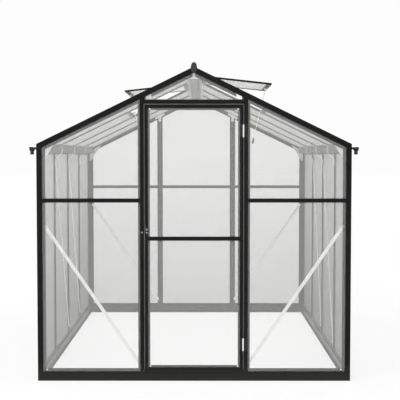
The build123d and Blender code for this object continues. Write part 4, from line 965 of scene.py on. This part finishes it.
def softened_blocks(name, blocks, finish, soft=0.0006):
    """A piece of blocks with softened edges, each from its low to its high corner and tilted about Y."""
    points, faces = [], []
    for low, high, tilt in blocks:
        low, high = Vector(low), Vector(high)
        middle, half = (low + high) / 2, (high - low) / 2
        turn = Matrix.Rotation(tilt, 3, "Y")
        first = len(points)
        for x in (-1, 1):
            for y in (-1, 1):
                for z in (-1, 1):
                    points.append(tuple(middle + turn @ Vector((x * half.x, y * half.y, z * half.z))))
        for quad in ((0, 1, 3, 2), (4, 6, 7, 5), (0, 4, 5, 1), (2, 3, 7, 6), (0, 2, 6, 4), (1, 5, 7, 3)):
            faces.append([first + i for i in quad])
    mesh = bpy.data.meshes.new(name)
    mesh.from_pydata(points, [], faces)
    mesh.materials.append(finish)
    piece = bpy.data.objects.new(name, mesh)
    bpy.context.scene.collection.objects.link(piece)
    softened = piece.modifiers.new("softened", "BEVEL")
    softened.width = soft
    softened.segments = 2
    return piece


def in_front_gable(across, depths, heights):
    """A block from its ranges across the house, deep in the front gable, and up."""
    low, high = zip(across, (depth - HALF_LENGTH for depth in depths), heights)
    return low, high, 0.0


PAD_HALF = 0.0036
PAD_DEPTHS = (0.0020, 0.00245)
PAD_ROUND = 0.00015


def corner_pad(x, z):
    """A white pad on the front of a sheet, at the corner of the lips behind it."""
    return in_front_gable((x - PAD_HALF, x + PAD_HALF), PAD_DEPTHS, (z - PAD_HALF, z + PAD_HALF))


for name, corners, body in (
    ("base_corner_pads", [(side * 0.8935, 0.0690) for side in BOTH], "greenhouse"),
    ("door_corner_pads", [(side * 0.2650, z) for side in BOTH for z in (0.0905, 1.6490)], "door"),
):
    pads = softened_blocks(name, [corner_pad(x, z) for x, z in corners], white_plastic, PAD_ROUND)
    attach(pads, body)

STAY_LEAN = math.radians(13.6)
TIP_RISE = 0.011  # from a stay's lowest point to the middle of its tip
TIP_HALF = Vector((0.0060, 0.0100, 0.0170))
tips = []
for solid in loose_solids("roof_vent_stays"):
    side = 1.0 if solid[:, 0].mean() > 0 else -1.0
    foot = Vector(solid[solid[:, 2].argmin()])
    middle = Vector((foot.x, (solid[:, 1].min() + solid[:, 1].max()) / 2, foot.z))
    middle += Vector((side * math.sin(STAY_LEAN), 0.0, math.cos(STAY_LEAN))) * TIP_RISE
    tips.append((middle - TIP_HALF, middle + TIP_HALF, side * STAY_LEAN))
stay_tips = softened_blocks("stay_tips", tips, black_plastic)
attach(stay_tips, "greenhouse")

filler = in_front_gable((-0.304, 0.304), (0.0021, 0.0083), (0.0461, 0.0618))
sill = softened_blocks("sill_filler", [filler], rubber)
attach(sill, "greenhouse")

SEAL_INNER = 0.2985  # from the middle of the door to the inner and outer sides of its seals
SEAL_OUTER = 0.3035
SEAL_DEPTHS = (0.0208, 0.0219)
SEAL_HEIGHTS = (0.064, 1.6790)
# Grey seals in the door's gaps; their light grey also stands in for the highlight along the door's edges.
seals = softened_blocks(
    "door_seals",
    [
        in_front_gable((-SEAL_OUTER, -SEAL_INNER), SEAL_DEPTHS, SEAL_HEIGHTS),
        in_front_gable((SEAL_INNER, SEAL_OUTER), SEAL_DEPTHS, SEAL_HEIGHTS),
        in_front_gable((-SEAL_INNER, SEAL_INNER), (0.0030, 0.0085), (1.6773, 1.6799)),
    ],
    pile_and_painted_highlight,
)
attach(seals, "greenhouse")

# Floor, light and camera
FLOOR_LEVEL = -0.0004  # just under the base, so that the two don't share a surface
FLOOR_CORNERS = ((-40, -40), (40, -40), (40, 60), (-40, 60))
scene = bpy.context.scene
floor_mesh = bpy.data.meshes.new("floor")
floor_mesh.from_pydata([(x, y, FLOOR_LEVEL) for x, y in FLOOR_CORNERS], [], [(0, 1, 2, 3)])
floor = bpy.data.objects.new("floor", floor_mesh)
scene.collection.objects.link(floor)
pale = Finish("pale_floor")
speckle = pale.noise(3.0, 4.0)
floor_mesh.materials.append(
    pale.surface(
        Base_Color=pale.mottled(speckle, (0.225, 0.225, 0.225), (0.235, 0.235, 0.235)),
        Roughness=1.0,
        Specular_IOR_Level=0.0,
        Emission_Color=(1.0, 1.0, 1.0, 1.0),
        Emission_Strength=0.77,
    )
)

world = bpy.data.worlds.new("studio")
world.use_nodes = True
world.node_tree.nodes["Background"].inputs["Color"].default_value = (0.982, 0.982, 0.98, 1.0)
world.node_tree.nodes["Background"].inputs["Strength"].default_value = 1.0
scene.world = world

key = bpy.data.lights.new("key", "AREA")
key.energy = 60.0
key.size = 3.0
key_light = bpy.data.objects.new("key", key)
key_light.location = (-3.0, -4.5, 5.0)
towards_house = Vector((0, 0, 1.0)) - Vector(key_light.location)
key_light.rotation_euler = towards_house.to_track_quat("-Z", "Y").to_euler()
scene.collection.objects.link(key_light)

PHOTO_WIDTH = 400.0  # in the photo's pixels, as is the focal length
FOCAL_LENGTH = 927.0
SENSOR = 36.0
CAMERA_FALL = 2.717  # degrees below the horizontal
CAMERA_TURN = 0.086
camera = bpy.data.cameras.new("camera")
camera.sensor_width = SENSOR
camera.lens = FOCAL_LENGTH / PHOTO_WIDTH * SENSOR
camera.dof.use_dof = False
camera_object = bpy.data.objects.new("camera", camera)
camera_object.location = (0.0448, -6.846, 1.3673)
camera_object.rotation_euler = (math.radians(90.0 - CAMERA_FALL), 0.0, math.radians(CAMERA_TURN))
scene.collection.objects.link(camera_object)
scene.camera = camera_object

scene.view_settings.view_transform = "Standard"
scene.view_settings.look = "None"
scene.cycles.transparent_max_bounces = 96
scene.cycles.max_bounces = 8
scene.cycles.use_denoising = True
